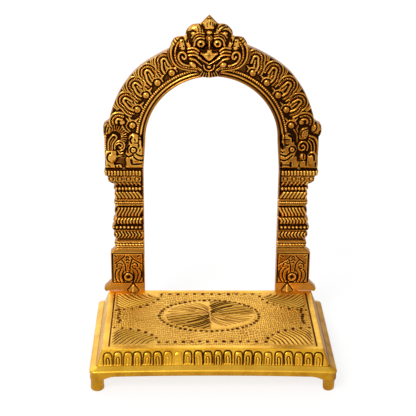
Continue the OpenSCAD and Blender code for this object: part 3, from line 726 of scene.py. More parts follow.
# Square panels with rosettes run round the capital, and chevrons round the shaft's foot.
panel_pitch = 6.6
panel_half = 2.5
panel_low, panel_high = 92.9, 96.3
panel_rise = 0.8
for x in row_of(92.2, 97, panel_pitch):
    left, right = x - panel_half, x + panel_half
    square = np.array([
        [left, panel_low], [right, panel_low], [right, panel_high], [left, panel_high], [left, panel_low],
    ])
    shaft.ridge(square, 1.2, panel_rise)
    shaft.boss((x, (panel_low + panel_high) / 2), 1.4, 1.1, panel_rise)
    shaft.ridge(np.array([[x + panel_pitch / 2, 92.6], [x + panel_pitch / 2, 96.6]]), 0.9, 0.6)
for x in row_of(44.6, 50.6, 2.55):
    shaft.groove(curve((x + 0.9, 50.2), (x - 0.75, 47.7), (x + 0.9, 45.1), steps=3), 1.3, 0.9)
# Bands of strokes, as their lowest and highest level, pitch, line, width and rise: dentils, slanted leaves,
# ropes twisted both ways and tongues. Two more bands are strings of beads.
band_strokes = [
    (97.4, 101, 2.35, [(0.0, 98.4), (0.0, 100.4)], 2.5, 1.0),
    (88.5, 92, 3.0, [(1.6, 91.7), (0.2, 90.6), (-0.6, 88.9)], 2.0, 0.75),
    (78.3, 83.7, 2.75, [(1.9, 83.5), (0.7, 82.0), (-0.6, 80.0), (-1.2, 78.5)], 2.4, 1.05),
    (63.6, 70.4, 2.55, [(-1.5, 70.2), (-0.8, 68.2), (0.6, 66.0), (1.2, 63.8)], 2.25, 1.05),
    (56.8, 62, 2.45, [(-0.9, 61.8), (0.3, 60.0), (0.1, 58.2), (-0.2, 57.0)], 2.2, 1.0),
]
for low, high, pitch, stroke, width, rise in band_strokes:
    for x in row_of(low, high, pitch):
        shaft.ridge(curve(*stroke) + (x, 0), width, rise)
band_beads = [(84.9, 87.8, 2.6, 86.35, 1.2, 1.6, 1.2), (52.9, 56.2, 3.0, 54.5, 1.1, 1.05, 0.95)]
for low, high, pitch, level, across, up, rise in band_beads:
    for x in row_of(low, high, pitch):
        shaft.boss((x, level), across, up, rise)
smooth_bands = [
    (77.0, 1.4, 0.7, 0.0), (74.8, 1.9, 0.9, 1.5), (72.8, 1.3, 0.7, 0.0), (62.6, 0.8, 0.4, 0.0),
    (56.6, 0.8, 0.7, 0.0), (52.2, 1.4, 0.7, 0.0), (51.0, 0.9, 0.5, 0.0), (41.6, 1.2, 0.6, 0.0),
    (39.4, 2.0, 0.9, 2.4), (37.4, 1.2, 0.6, 0.0), (88.2, 0.7, 0.4, 0.0), (84.4, 0.7, 0.4, 0.0),
]
for level, width, rise, beads in smooth_bands:
    shaft.band(q_grid - level, width, rise, p, beads)
ring_cuts = (97.25, 92.1, 88.35, 84.2, 77.95, 76.05, 71.3, 63.0, 56.3, 52.75, 44.0, 43.2, 36.3)
for level in ring_cuts:
    shaft.groove(np.array([[0.9, level], [40.0, level]]), 1.0, 0.55)
# Block: a sunk border round a gable, a stem with curls, drooping leaves and a ring.
block_lines = [
    [(1.9, 31.9), (24.2, 31.9)], [(25.1, 31.6), (25.1, 6.8)],
    [(1.1, 31.4), (1.1, 7.2)], [(1.6, 6.5), (24.6, 6.5)],
    [(15.4, 29.9), (18.2, 26.9), (23.1, 23.2)], [(11.4, 29.9), (8.0, 26.6), (2.5, 22.9)],
    [(23.4, 30.0), (22.2, 29.0)], [(4.2, 30.0), (5.4, 29.0)],
    [(17.6, 25.9), (15.4, 22.2), (14.8, 16.2)], [(9.9, 26.6), (11.1, 22.2), (11.7, 16.2)],
    [(14.4, 28.0), (13.3, 29.4), (12.2, 28.0)], [(14.6, 25.6), (13.3, 27.0), (12.0, 25.6)],
    [(14.0, 23.6), (13.2, 24.4), (12.4, 23.6)],
    [(21.9, 19.9), (21.4, 22.6), (19.0, 23.4), (17.4, 22.4)], [(20.3, 18.6), (18.4, 18.9), (17.6, 20.2)],
    [(5.4, 20.4), (5.8, 22.8), (8.0, 23.8), (9.6, 22.8)], [(7.0, 18.9), (8.8, 19.1), (9.6, 20.6)],
    [(21.6, 18.1), (23.1, 15.4), (23.3, 11.4), (21.9, 7.3)],
    [(18.8, 17.6), (20.2, 15.1), (20.2, 10.7), (19.1, 7.3)],
    [(7.4, 18.4), (5.6, 16.1), (5.2, 12.1), (7.1, 7.3)],
    [(4.3, 19.3), (2.6, 16.1), (2.6, 11.4), (4.6, 7.3)],
    [(16.2, 16.8), (17.4, 14.4), (17.6, 10.6), (16.4, 7.3)],
    [(9.2, 16.4), (8.4, 14.0), (8.2, 10.4), (9.2, 7.3)],
]
for line in block_lines:
    shaft.groove(curve(*line), 1.15, 0.85)
ring_spot = (12.8, 11.3)
shaft.groove(arc(ring_spot, 3.95, 0, 360, steps=40), 1.2, 0.85)
shaft.ridge(arc(ring_spot, 2.7, 0, 360, steps=40), 1.5, 0.35)
shaft.pit(ring_spot, 1.75, 1.75, 1.0)
# The front rounds off into the outer side, a spur stands out of the foot, and the toe sinks a little.
spur_x = 9.2
spur_half = 4.6
spur_h = 6.2
spur_out = 3.2
toe_sink = 1.2
toe_h = 8
ring_stand = 0.55
edge_rounds = np.array([(0, 2.0), (6, 2.0), (8, 0.8), (33, 0.8), (37, 3.0), (88, 3.0), (93, 1.0), (101, 0.8)])
spur_edge = np.array([(spur_x - spur_half, 0.4), (spur_x, 6.0), (spur_x + spur_half, 0.4)])
shaft.groove(spur_edge, 1.0, 0.6)
face_y = np.interp(q, *pillar_face.T) - ring_stand * bulge
from_edge = edge_p[:, None] - p
rounding = rounded(np.interp(q, *edge_rounds.T)[:, None], from_edge)
spur = spur_out * np.clip(1 - np.abs(p - spur_x) / spur_half - q_grid / spur_h, 0, None)
relief = shaft.height() * eased(0.0, 0.7, from_edge) * eased(0.2, 0.9, p)
front_y = face_y[:, None] - relief - spur + rounding
section_p, section_y = walled(p, front_y, side_steps=11, back_steps=7, home_steps=5)
toe_drop = toe_sink * eased(27.5, 32.5, section_p) * np.clip(1 - q[:, None] / toe_h, 0, None)
pillar_z = top_z + q[:, None] - toe_drop
# Tarnish: black in the cuts and between a band's strokes; brown wherever nothing stands proud, so that wear
# and a painted highlight stay on the crests.
chased_bands = [
    (52.9, 56.2), (56.8, 62.2), (63.6, 70.6), (78.2, 83.9), (84.8, 88.0), (88.4, 92.1), (92.3, 101.5),
]
block_tarnish = 0.07
side_tarnish = 0.25
side_columns = 3
chased = np.zeros(pillar_rows)
for low, high in chased_bands:
    chased = np.maximum(chased, (q > low) & (q < high))
between = eased(0.5, 0.08, shaft.height()) * chased[:, None]
# Wear and painted highlight: the crests are kept bright.
unworn_unlit = np.interp(q, [6, 7], [0.2, 0.3])[:, None] * (1 - shaft.worn(3, 0.2))
on_block = (eased(37.0, 35.0, q) * eased(6.0, 7.0, q))[:, None]
pillar_tone = np.maximum(np.clip(shaft.cut / black_depth, 0, 1), between)
pillar_tone = np.maximum(pillar_tone, shaft.recess(5, 0.3)) * eased(0.3, 1.0, p)
pillar_tone = np.maximum(pillar_tone, unworn_unlit) + block_tarnish * on_block
pillar_side_tone = np.pad(pillar_tone, ((0, 0), (0, section_p.shape[1] - pillar_columns)), mode="edge")
pillar_side_tone[:, pillar_columns - side_columns:] = side_tarnish
# The right pillar is darker than the left: tarnish with painted shade, as the light falls from the left.
for name, side, tarnish_and_shade in (("left_pillar", -1, 0.02), ("right_pillar", 1, 0.05)):
    pillar_points = np.stack([side * (inner_x + section_p), section_y, pillar_z], 2)
    pillar_piece = casting(name + "_cast", pillar_points, pillar_side_tone + tarnish_and_shade)
    fit(pillar_piece, arch_brass, "arch", name)

# Pegs and dowels: plain turned brass pins. A peg under each pillar drops loosely into its socket, so that the
# arch lifts off, and a dowel in each pillar's head is soldered into the arch.
refinish(fixing_brass, "left_peg", "right_peg", "pillar_dowels")

# Arch: one flat brass casting with a crouching beast at the foot of each leg. Above them run a row of
# curled flames along the outside, a row of buds, and a plain, rolled and beaded rim round the opening.
arch_z = 155.0
ground_y = 50.5
inner_r = 50.3
flame_r = 79.0
leg_x = 81.3
leg_turn = 0.2
shoulder_turns = np.radians([8.4, 12.2])
crown_turns = np.radians([40.0, 62.0])
crown_dip = 1.5
left_leaf = 0.7
right_leaf = 1.7
leaf_turn = 6.0
leaf_half = 3.6
leg_rows = 76
arc_rows = 640
arch_columns = 92
rim_column = 20
seat_drop = top_z + seat_h - arch_z
arch_turn = np.concatenate([np.full(leg_rows, np.pi), np.linspace(np.pi, 0, arc_rows), np.zeros(leg_rows)])
leg_drop = np.linspace(seat_drop, 0, leg_rows, endpoint=False)
arch_drop = np.concatenate([leg_drop, np.zeros(arc_rows), leg_drop[::-1]])
lean = np.minimum(arch_turn, np.pi - arch_turn)
inner_edge = inner_r + (inner_x - inner_r) * arch_drop / seat_drop
shoulder = eased(*shoulder_turns, lean)
flame_edge = flame_r - crown_dip * eased(*crown_turns, lean)
outer_edge = (leg_x / np.cos(np.minimum(lean, leg_turn))) * (1 - shoulder) + flame_edge * shoulder
leaf_out = np.where(arch_turn > np.pi / 2, left_leaf, right_leaf)
leaf_share = (np.degrees(lean) - leaf_turn) / leaf_half
outer_edge = outer_edge + leaf_out * np.sqrt(np.clip(1 - leaf_share**2, 0, None))
share = np.linspace(0, 1, arch_columns)
radius = inner_edge[:, None] + share * (outer_edge - inner_edge)[:, None]
arch_a = np.cos(arch_turn)[:, None] * radius
arch_b = np.sin(arch_turn)[:, None] * radius + arch_drop[:, None]
rim_gap = radius - inner_edge[:, None]
rim_run = run_along(np.stack([arch_a[:, rim_column], arch_b[:, rim_column]], 1))[:, None]
torana = Chasing(arch_a, arch_b)
rolled = eased(3.5, 5.5, arch_b)
beaded = eased(5.0, 7.5, arch_b)
rim_bands = [(0.7, 2.0, 0.7, 0.0, 1.0), (3.6, 2.1, 1.15, 0.0, rolled), (6.4, 2.5, 1.15, 1.75, beaded)]
for middle, width, rise, beads, reach in rim_bands:
    torana.band(rim_gap - middle, width, rise * reach, rim_run, beads)
outer_rim_in = 0.3
outer_rim_w = 1.6
outer_rim_rise = 0.6
torana.band(radius - outer_edge[:, None] + outer_rim_in, outer_rim_w, outer_rim_rise * shoulder[:, None])

# Flames: each is three ribs bent over one another, the middle one beaded; two short strokes run in from
# the arch's edge between it and the next flame away from the crown.
flame_bend_r = 71.8
flame_turns = (-29.8, -41.8, -52.4, -63.6, -77.4, 26.5, 39.5, 52.0, 64.5, 77.5)
lowest_turn = 70.0
lowest_share = 0.45
lowest_eye = np.array([-0.2, -2.6])
lowest_eye_r = 2.2
lowest_eye_rise = 1.9
open_turn = 135.0
long_leg = np.array([-0.26, -0.96])
short_leg = np.array([-0.1, -0.99])
leg_sway = np.array([-0.12, 0.0])
flame_ribs = [(7.0, 9.0, 4.5, 2.3, 1.6, 0.0), (4.6, 9.5, 5.2, 2.9, 2.1, 1.25), (2.0, 8.5, 4.2, 3.0, 2.1, 0.0)]
flame_tongue = [(-0.3, -1.6), (-0.9, -3.6), (-1.6, -6.0)]
flame_strokes = [[(-5.4, 7.4), (-7.0, 5.4), (-8.2, 2.4)], [(-7.6, 7.2), (-8.6, 5.0), (-9.2, 2.8)]]
tongue_w, tongue_rise = 2.3, 1.3
stroke_w, stroke_rise = 2.0, 1.6


def bend(size, long, short):
    """A ridge bent over: up the swaying long leg, half a circle, down the short leg. Without a long leg it
    starts part of the way round the circle."""
    stop = np.array([[size, 0]]) + short * short_leg
    if not long:
        return np.vstack([arc((0, 0), size, open_turn, 0), stop])
    top = np.array([-size, 0])
    sway = top + long * (0.5 * long_leg + leg_sway)
    return np.vstack([curve(top + long * long_leg, sway, top), arc((0, 0), size, 180, 0), stop])


for turn in flame_turns:
    outwards = np.array([np.sin(np.radians(turn)), np.cos(np.radians(turn))])
    crownwards = np.array([outwards[1], -outwards[0]]) * (1 if turn < 0 else -1)
    axes = np.array([crownwards, outwards])
    spot = outwards * flame_bend_r
    lowest = abs(turn) > lowest_turn
    for size, long, short, width, rise, beads in flame_ribs:
        legs = (0.0, lowest_share * short) if lowest else (long, short)
        torana.ridge(spot + bend(size, *legs) @ axes, width, rise, beads)
    if lowest:
        torana.boss(spot + lowest_eye @ axes, lowest_eye_r, lowest_eye_r, lowest_eye_rise)
        continue
    torana.ridge(spot + curve(*flame_tongue) @ axes, tongue_w, tongue_rise)
    for stroke in flame_strokes:
        torana.ridge(spot + curve(*stroke) @ axes, stroke_w, stroke_rise)

# Buds: a drop between each pair of flames, under a cap of three small leaves.
bud_r = 61.2
bud_count = 5
bud_turn = 29.5
bud_pitch = 12.2
for step in range(bud_count):
    for side in (-1, 1):
        turn = np.radians(bud_turn + bud_pitch * step)
        spot = bud_r * np.array([side * np.sin(turn), np.cos(turn)])
        tip = np.array([0.35 * side * np.sin(turn), 1.0])
        torana.boss(spot, 2.6, 2.7, 2.2)
        torana.pit(spot + (0.3, -0.8), 0.8, 0.7, 0.4)
        torana.ridge(spot + arc((0, 0), 4.1, 15, 165), 1.7, 1.5)
        torana.ridge(np.array([spot + tip * 3.8, spot + tip * 7.4]), 3.2, 1.6, thin=0.7)
        for leaf in (-1, 1):
            torana.ridge(spot + np.array([(leaf * 2.6, 3.6), (leaf * 4.6, 5.8)]), 2.7, 1.6, thin=0.5)

# Beasts: a lion's head and a crouching body on each leg, under a leaf, all given outwards from the opening
# and upwards from the seat. Bodies are raised fields with lines cut into them; tails and manes are ribs.
beast_fields = {
    -1: [
        [(0.4, 1.6), (12.6, 1.6), (13.1, 5.0), (13.6, 9.4), (12.6, 11.4), (13.9, 13.0), (12.9, 15.0),
         (12.6, 18.6), (11.2, 21.6), (11.2, 25.2), (10.4, 28.0), (7.6, 29.8), (4.8, 29.0), (1.7, 26.4),
         (0.4, 22.0)],
        [(28.7, 1.6), (28.9, 6.2), (28.9, 15.4), (20.6, 15.6), (20.2, 12.6), (16.4, 12.2), (15.2, 10.9),
         (19.4, 10.2), (20.6, 8.6), (22.0, 5.6), (17.6, 5.0), (16.2, 3.4), (16.8, 1.6)],
        [(26.9, 38.2), (29.4, 36.4), (30.6, 33.2), (30.2, 30.0), (29.0, 28.6), (26.4, 28.9), (24.9, 30.5),
         (24.1, 34.1), (25.0, 36.6)],
    ],
    1: [
        [(0.4, 1.6), (14.6, 1.6), (14.8, 5.0), (13.6, 8.4), (11.6, 11.0), (12.4, 14.0), (12.6, 18.0),
         (11.4, 20.6), (10.6, 24.4), (9.4, 27.6), (6.8, 30.0), (4.2, 29.4), (1.6, 26.0), (0.4, 22.0)],
        [(15.4, 1.6), (29.2, 1.6), (29.4, 8.0), (28.8, 12.6), (27.4, 15.2), (25.0, 15.8), (22.8, 14.8),
         (21.6, 12.0), (20.8, 9.0), (19.8, 12.6), (17.4, 13.8), (15.2, 12.6), (14.8, 10.0), (15.8, 8.6),
         (15.2, 5.0)],
        [(14.2, 24.8), (14.2, 28.4), (15.6, 32.0), (18.4, 34.4), (20.8, 34.4), (21.4, 31.4), (21.0, 28.0),
         (19.6, 25.4), (16.8, 24.4)],
        [(22.8, 33.0), (23.8, 36.0), (26.4, 38.2), (29.6, 36.8), (31.6, 33.4), (31.4, 30.0), (30.0, 28.0),
         (28.6, 28.6), (27.4, 29.8), (24.8, 30.0), (23.2, 31.2)],
    ],
}
beast_domes = {
    -1: [((8.0, 16.8), 4.4, 4.6, 2.7), ((6.4, 25.0), 4.8, 4.4, 2.8), ((5.5, 9.5), 5.6, 3.2, 2.5),
         ((24.6, 10.4), 4.6, 5.2, 3.2), ((27.2, 33.0), 3.0, 4.6, 2.4)],
    1: [((9.0, 17.0), 4.2, 4.6, 2.7), ((4.6, 26.0), 4.6, 3.6, 2.8), ((5.5, 10.0), 5.4, 2.8, 2.5),
        ((24.2, 8.6), 3.8, 6.4, 3.0), ((17.2, 11.0), 2.2, 2.4, 2.3), ((17.8, 29.4), 3.5, 4.9, 2.6),
        ((27.2, 33.4), 4.3, 4.5, 2.7)],
}
beast_ribs = {
    -1: [
        ([(12.2, 3.1), (6.0, 3.0), (1.3, 3.2)], 3.6, 1.8),
        ([(11.2, 9.6), (11.3, 6.0), (11.6, 3.4)], 3.4, 1.7),
        ([(28.0, 3.1), (22.0, 3.0), (17.6, 3.2)], 3.3, 1.7),
        ([(28.5, 28.0), (28.7, 22.0), (28.5, 16.0)], 2.5, 1.4, 1.5),
        ([(26.5, 16.4), (26.3, 22.4), (25.0, 25.4), (22.5, 28.2), (20.5, 27.8), (20.0, 26.0),
          (21.7, 23.6), (23.2, 21.0), (23.6, 16.6)], 1.9, 1.5),
        ([(25.0, 16.4), (24.7, 21.5), (22.6, 25.4)], 1.3, 1.3),
        ([(21.6, 17.2), (21.3, 20.5), (20.0, 22.6), (17.4, 23.8), (14.9, 22.4), (14.1, 19.4),
          (15.2, 16.9), (17.2, 15.9)], 2.0, 1.5),
        ([(20.2, 20.6), (18.0, 21.8), (15.9, 20.6), (15.9, 18.8), (17.2, 17.9), (18.2, 18.8)], 1.8, 1.5),
        ([(18.8, 15.2), (17.6, 13.4), (15.4, 14.0)], 1.9, 1.3),
        ([(15.6, 35.4), (13.6, 32.4), (11.0, 30.4)], 1.5, 1.2),
        ([(12.6, 36.0), (11.8, 33.6), (9.6, 31.4)], 1.4, 1.2),
    ],
    1: [
        ([(13.8, 2.9), (8.0, 2.6), (1.2, 2.7)], 2.6, 1.6),
        ([(11.6, 9.6), (11.8, 6.0), (12.4, 3.2)], 4.6, 1.6),
        ([(22.2, 27.6), (26.2, 26.0), (28.5, 21.0), (28.6, 14.8)], 2.6, 1.8),
        ([(22.0, 25.4), (24.9, 23.4), (26.2, 19.2), (26.2, 15.0)], 2.1, 1.7),
        ([(21.6, 23.4), (23.5, 20.6), (24.0, 16.4)], 1.9, 1.6),
        ([(20.6, 16.2), (21.2, 19.4), (19.8, 22.4), (16.9, 23.1), (14.5, 21.2), (14.2, 18.0),
          (16.1, 16.2), (18.4, 16.9), (18.8, 19.2), (17.5, 20.2), (16.6, 19.2)], 2.0, 1.7),
        ([(10.2, 32.4), (12.4, 28.6), (13.0, 22.8)], 1.4, 1.1),
        ([(13.4, 35.2), (12.4, 33.0), (13.2, 30.4)], 1.4, 1.1),
    ],
}
beast_lines = {
    -1: [
        ([(8.3, 27.2), (9.7, 24.4), (8.7, 22.0)], 1.3), ([(6.2, 25.6), (5.8, 24.2)], 0.9),
        ([(6.5, 22.4), (3.8, 22.0), (3.0, 19.9)], 0.9), ([(3.6, 25.4), (1.8, 24.8)], 0.9),
        ([(10.5, 20.3), (11.7, 17.9), (11.5, 14.4)], 1.1), ([(13.8, 12.6), (11.1, 11.0), (7.5, 12.6)], 1.3),
        ([(5.1, 13.4), (3.0, 12.2), (0.6, 11.6)], 1.2), ([(7.1, 11.0), (3.8, 8.7), (0.4, 8.1)], 1.2),
        ([(9.1, 8.5), (8.8, 6.1)], 1.7), ([(8.4, 5.1), (1.2, 5.3)], 1.2), ([(0.9, 28.4), (0.7, 19.5)], 1.1),
        ([(2.6, 15.8), (2.2, 16.6)], 1.0),
        ([(24.8, 14.2), (26.6, 13.2), (27.4, 10.8), (26.9, 8.4), (25.2, 7.0)], 1.2),
        ([(18.4, 10.6), (14.8, 11.0)], 1.0), ([(20.0, 15.0), (19.8, 12.0)], 0.9),
        ([(22.0, 4.9), (18.0, 5.3)], 1.0), ([(21.2, 3.6), (21.0, 2.4)], 0.9),
        ([(18.8, 3.6), (18.6, 2.2)], 0.9), ([(26.8, 4.6), (25.4, 3.4)], 0.9),
        ([(26.9, 36.6), (28.2, 33.8), (28.5, 30.2)], 1.0), ([(25.9, 34.6), (26.9, 31.2)], 0.9),
    ] + [([(28.9, up), (30.3, up + 0.4)], 0.55) for up in (29.8, 31.2, 32.6, 34.0, 35.2)],
    1: [
        ([(6.3, 28.5), (9.1, 26.4), (9.4, 23.2)], 1.3), ([(2.2, 24.8), (4.6, 25.4), (7.1, 24.8)], 1.0),
        ([(1.4, 21.5), (2.0, 19.5), (2.2, 17.5)], 1.5), ([(4.2, 21.4), (5.2, 20.0), (6.2, 21.2)], 1.0),
        ([(1.2, 15.0), (2.2, 14.6), (3.2, 15.0)], 1.0),
        ([(1.0, 12.6), (4.7, 11.8), (7.9, 14.2)], 1.3), ([(1.0, 8.5), (4.7, 8.4), (9.5, 11.8)], 1.3),
        ([(1.4, 6.1), (1.4, 3.4)], 1.4), ([(1.8, 4.6), (8.3, 4.5)], 1.0), ([(8.5, 6.5), (8.5, 3.4)], 1.5),
        ([(15.0, 6.0), (14.9, 1.6)], 1.2), ([(22.6, 12.4), (24.4, 13.4), (26.0, 12.0), (26.3, 8.4)], 1.3),
        ([(20.3, 12.6), (20.3, 4.0)], 1.0), ([(15.4, 8.0), (19.4, 8.4)], 1.0),
        ([(18.2, 12.8), (18.2, 9.8)], 0.9), ([(27.6, 6.0), (27.2, 3.0)], 1.0),
        ([(30.4, 31.8), (29.2, 31.0), (29.5, 29.4)], 1.1), ([(0.9, 28.4), (0.7, 22.4)], 1.1),
        ([(15.8, 26.4), (15.6, 30.0), (17.2, 32.4), (20.2, 33.2)], 0.7),
        ([(26.4, 37.4), (27.3, 35.4), (26.5, 32.5), (24.6, 30.8)], 0.8),
    ],
}
leaf_pits = [(17.2, 27.0), (18.9, 27.6), (17.4, 29.2), (19.4, 29.6), (18.2, 31.0), (20.0, 31.6)]
beast_eyes = {-1: (7.3, 16.6), 1: (9.3, 17.1)}
beast_rise = 1.8
beast_rounding = 2.2
beast_cut_depth = 1.5
beast_cut_spread = 1.2
eye_r = 2.4
for side in (-1, 1):
    mirror = np.array([side, 1.0])
    foot = np.array([side * inner_x, seat_drop])
    for outline in beast_fields[side]:
        torana.field(foot + mirror * curve(*outline, outline[0])[:-1], beast_rise, beast_rounding)
    for centre, across, up, rise in beast_domes[side]:
        torana.boss(foot + mirror * centre, across, up, rise)
    for line, *stroke in beast_ribs[side]:
        torana.ridge(foot + mirror * curve(*line), *stroke)
    for line, width in beast_lines[side]:
        torana.groove(foot + mirror * curve(*line), beast_cut_spread * width, beast_cut_depth)
    torana.groove(foot + mirror * arc(beast_eyes[side], eye_r, 0, 360, steps=40), 1.3, beast_cut_depth)
    torana.pit(foot + mirror * beast_eyes[side], 0.8, 0.8, 0.5)
    torana.groove(foot + mirror * np.array([[0.8, 0.8], [29.0, 0.8]]), 1.3, 1.0)
# The right leaf is pitted; on the left a comb of teeth fans out between the body and the leaf.
for spot in leaf_pits:
    torana.pit(np.array([inner_x, seat_drop]) + spot, 0.65, 0.6, 0.6)
comb_centre = np.array([21.3, 27.0])
comb_r = 6.8
comb_teeth = 14
tooth_ends = [[5.0], [9.0]]
comb_foot = np.array([-inner_x, seat_drop])
comb_mirror = np.array([-1.0, 1.0])
torana.ridge(comb_foot + comb_mirror * arc(comb_centre, comb_r, 35, 205), 5.0, 0.9)
for place in np.linspace(38, 202, comb_teeth):
    tooth = comb_centre + arc((0, 0), 1, place, place, steps=2) * tooth_ends
    torana.ridge(comb_foot + comb_mirror * tooth, 1.4, 1.9)

# Under the mask the arch is left flat, and its edges are eased with a file.
mask_low, mask_high = plain_box("kirtimukha_mask")
mask_x = round((mask_low[0] + mask_high[0]) / 2, 3)
mask_z = 223.0 - arch_z
mask_half = np.array([
    (0, 29.2), (2.6, 26.6), (5.5, 23.5), (7, 22.6), (10, 22.4), (13, 21.5), (16.5, 18), (17.5, 14.5),
    (18.5, 13.2), (21, 13.2), (25, 12.2), (27.5, 9), (28.5, 6), (30, 3), (30.5, -1), (29, -5.5), (25, -9.5),
    (19, -12), (12, -13), (9, -14), (7, -17), (0, -18.2),
])
mask_line = curve(*mask_half)
mask_line = np.vstack([mask_line, mask_line[-2:0:-1] * (-1, 1)])
mask_turn = np.arctan2(mask_line[:, 1], mask_line[:, 0])
mask_size = np.hypot(*mask_line.T)


def mask_edge(turn):
    """Distance from the mask's middle to its outline, straight between the outline's points, at an angle."""
    return np.interp(turn, mask_turn, mask_size, period=2 * np.pi)


filed_r = 0.6
mask_dx = arch_a - mask_x
mask_dz = arch_b - mask_z
mask_away = np.hypot(mask_dx, mask_dz) - mask_edge(np.arctan2(mask_dz, mask_dx))
edge_gap = np.minimum(rim_gap, outer_edge[:, None] - radius)
arch_relief = torana.height() * eased(-0.2, 0.5, mask_away)
arch_y = ground_y - arch_relief + rounded(filed_r, edge_gap)
# Tarnish: brown on the ground and in the hollows, black in the cuts and between the rims. Painted shade adds
# a little more brown with every millimetre to the right, and painted light takes some off the left leg.
ground_brown = 0.24
hollow_brown = 0.8
broad_brown = 0.14
unworn_unlit_brown = 0.32
rim_brown = 0.3
cut_black = 0.7
rim_hollows = (2.1, 5.0)
shade_per_mm = 0.0024
left_leg_light = 0.06
back_tarnish = 0.2
ornament = eased(1.6, 2.2, rim_gap) * eased(-0.5, 0.2, mask_away)
arch_ground = eased(0.6, 0.1, torana.height())
arch_tone = (ground_brown * arch_ground + hollow_brown * torana.recess(4, 0.6)) * ornament
# Wear and painted highlight: the crests stay bright, and what does not stand proud is browned.
arch_wear_and_highlight = np.maximum(torana.worn(3, 0.3), 0.5 * torana.worn(10, 0.7))
arch_tone = arch_tone + broad_brown * torana.recess(14, 0.8) + unworn_unlit_brown * (1 - arch_wear_and_highlight)
arch_tone = np.maximum(arch_tone, np.clip(torana.cut / cut_black, 0, 1))
for middle in rim_hollows:
    rim_hollow = eased(0.6, 0.3, np.abs(rim_gap - middle)) * eased(-7.0, -4.0, arch_b)
    arch_tone = np.maximum(arch_tone, rim_hollow)
arch_tone = np.maximum(arch_tone, rim_brown * eased(1.8, 1.2, rim_gap))
# Painted shade: darker with every millimetre to the right, away from the light.
arch_tone = arch_tone + shade_per_mm * np.clip(arch_a, 0, None)
# Painted light: the left leg's foot lighter, towards the light.
arch_tone = arch_tone - left_leg_light * eased(6.0, 0.0, arch_b) * (arch_a < 0)
section_r, arch_section_y = walled(radius, arch_y, side_steps=7, back_steps=7, home_steps=6)
arch_points = np.stack([
    np.cos(arch_turn)[:, None] * section_r, arch_section_y,
    np.sin(arch_turn)[:, None] * section_r + arch_drop[:, None] + arch_z,
], 2)
walls = section_r.shape[1] - arch_columns
arch_side_tone = np.pad(arch_tone, ((0, 0), (0, walls)), constant_values=back_tarnish)
arch_piece = casting("torana", arch_points, arch_side_tone)
fit(arch_piece, arch_brass, "arch", "torana_arch")

# Mask: the kirtimukha, a separate cast brass face held to the arch's crown by two rivets from behind.
# It swells towards the middle, and its features are raised and cut like the arch's.
mask_rings = 110
mask_stations = 560
mask_back_y = 50.45
mask_front_y = 48.9
mask_swell = 2.8
swell_power = 0.7
heart_share = 0.004
around = np.linspace(-np.pi, np.pi, mask_stations, endpoint=False)
ring_share = np.linspace(heart_share, 1, mask_rings)[:, None]
mask_a = ring_share * mask_edge(around) * np.cos(around)
mask_b = ring_share * mask_edge(around) * np.sin(around)
swell = mask_swell * np.clip(1 - ring_share**2, 0, None) ** swell_power * np.ones_like(mask_a)
face = Chasing(mask_a, mask_b, ground=swell)
# Fields: the crest, the two hair lobes, the nose, and on each side an ear and a fluted leaf.
face_fields = [
    ([(-5.3, 23.2), (-2.2, 26.4), (0, 28.4), (2.2, 26.4), (5.2, 23.0), (3.8, 20.6), (2.9, 18.9),
      (-2.9, 18.9), (-3.9, 20.8)], 2.0, 2.4),
    ([(-16.2, 17.2), (-14.4, 20.2), (-11.7, 22.1), (-8.4, 22.6), (-6.0, 21.8), (-4.7, 19.3), (-4.2, 16.7),
      (-6.5, 16.5), (-9.0, 16.5), (-11.4, 17.6), (-13.4, 17.2)], 2.5, 3.2),
    ([(4.5, 16.8), (5.0, 19.3), (6.5, 21.6), (8.9, 22.5), (11.7, 22.2), (14.1, 20.5), (15.9, 17.7),
      (16.6, 15.4), (14.6, 16.2), (12.2, 17.6), (8.9, 17.2), (6.0, 16.6)], 2.5, 3.0),
    ([(-7.0, 1.4), (-6.0, 2.7), (-4.2, 2.4), (-2.4, 2.7), (-1.7, 4.8), (1.8, 4.8), (2.5, 2.7), (4.2, 2.4),
      (6.0, 2.7), (6.9, 1.3), (4.8, -0.6), (1.4, -3.7), (0, -4.5), (-1.8, -3.6), (-4.8, -0.7)], 3.7, 1.8),
]
side_fields = [
    ([(21.8, 11.6), (18.9, 11.4), (17.9, 8.0), (17.5, 4.2), (19.4, 3.2), (21.3, 4.2), (22.5, 6.0),
      (22.2, 8.9)], 1.4, 1.6),
    ([(21.2, 12.6), (24.6, 12.0), (26.8, 9.4), (27.9, 6.6), (25.8, 6.4), (24.0, 8.6),
      (22.8, 10.8)], 1.6, 1.3),
]
for outline, rise, rounding in face_fields:
    face.field(curve(*outline, outline[0])[:-1], rise, rounding)
face_domes = [
    ((0.2, 25.4), 2.1, 1.3, 2.4, 0), ((0, 16.8), 2.4, 1.7, 2.3, 0), ((0, 12.8), 2.7, 2.5, 3.0, 0),
    ((0, -8.9), 1.7, 1.6, 2.0, 0), ((-12.0, -7.5), 3.3, 2.1, 2.5, -38), ((10.4, -7.6), 2.9, 2.3, 2.6, 12),
]
for centre, across, up, rise, turn in face_domes:
    face.boss(centre, across, up, rise, turn)
face.ridge(np.array([(0, 10.4), (0, 4.0)]), 2.4, 2.4)
face.ridge(np.array([(0, -14.0), (0, -18.0)]), 2.2, 1.5)
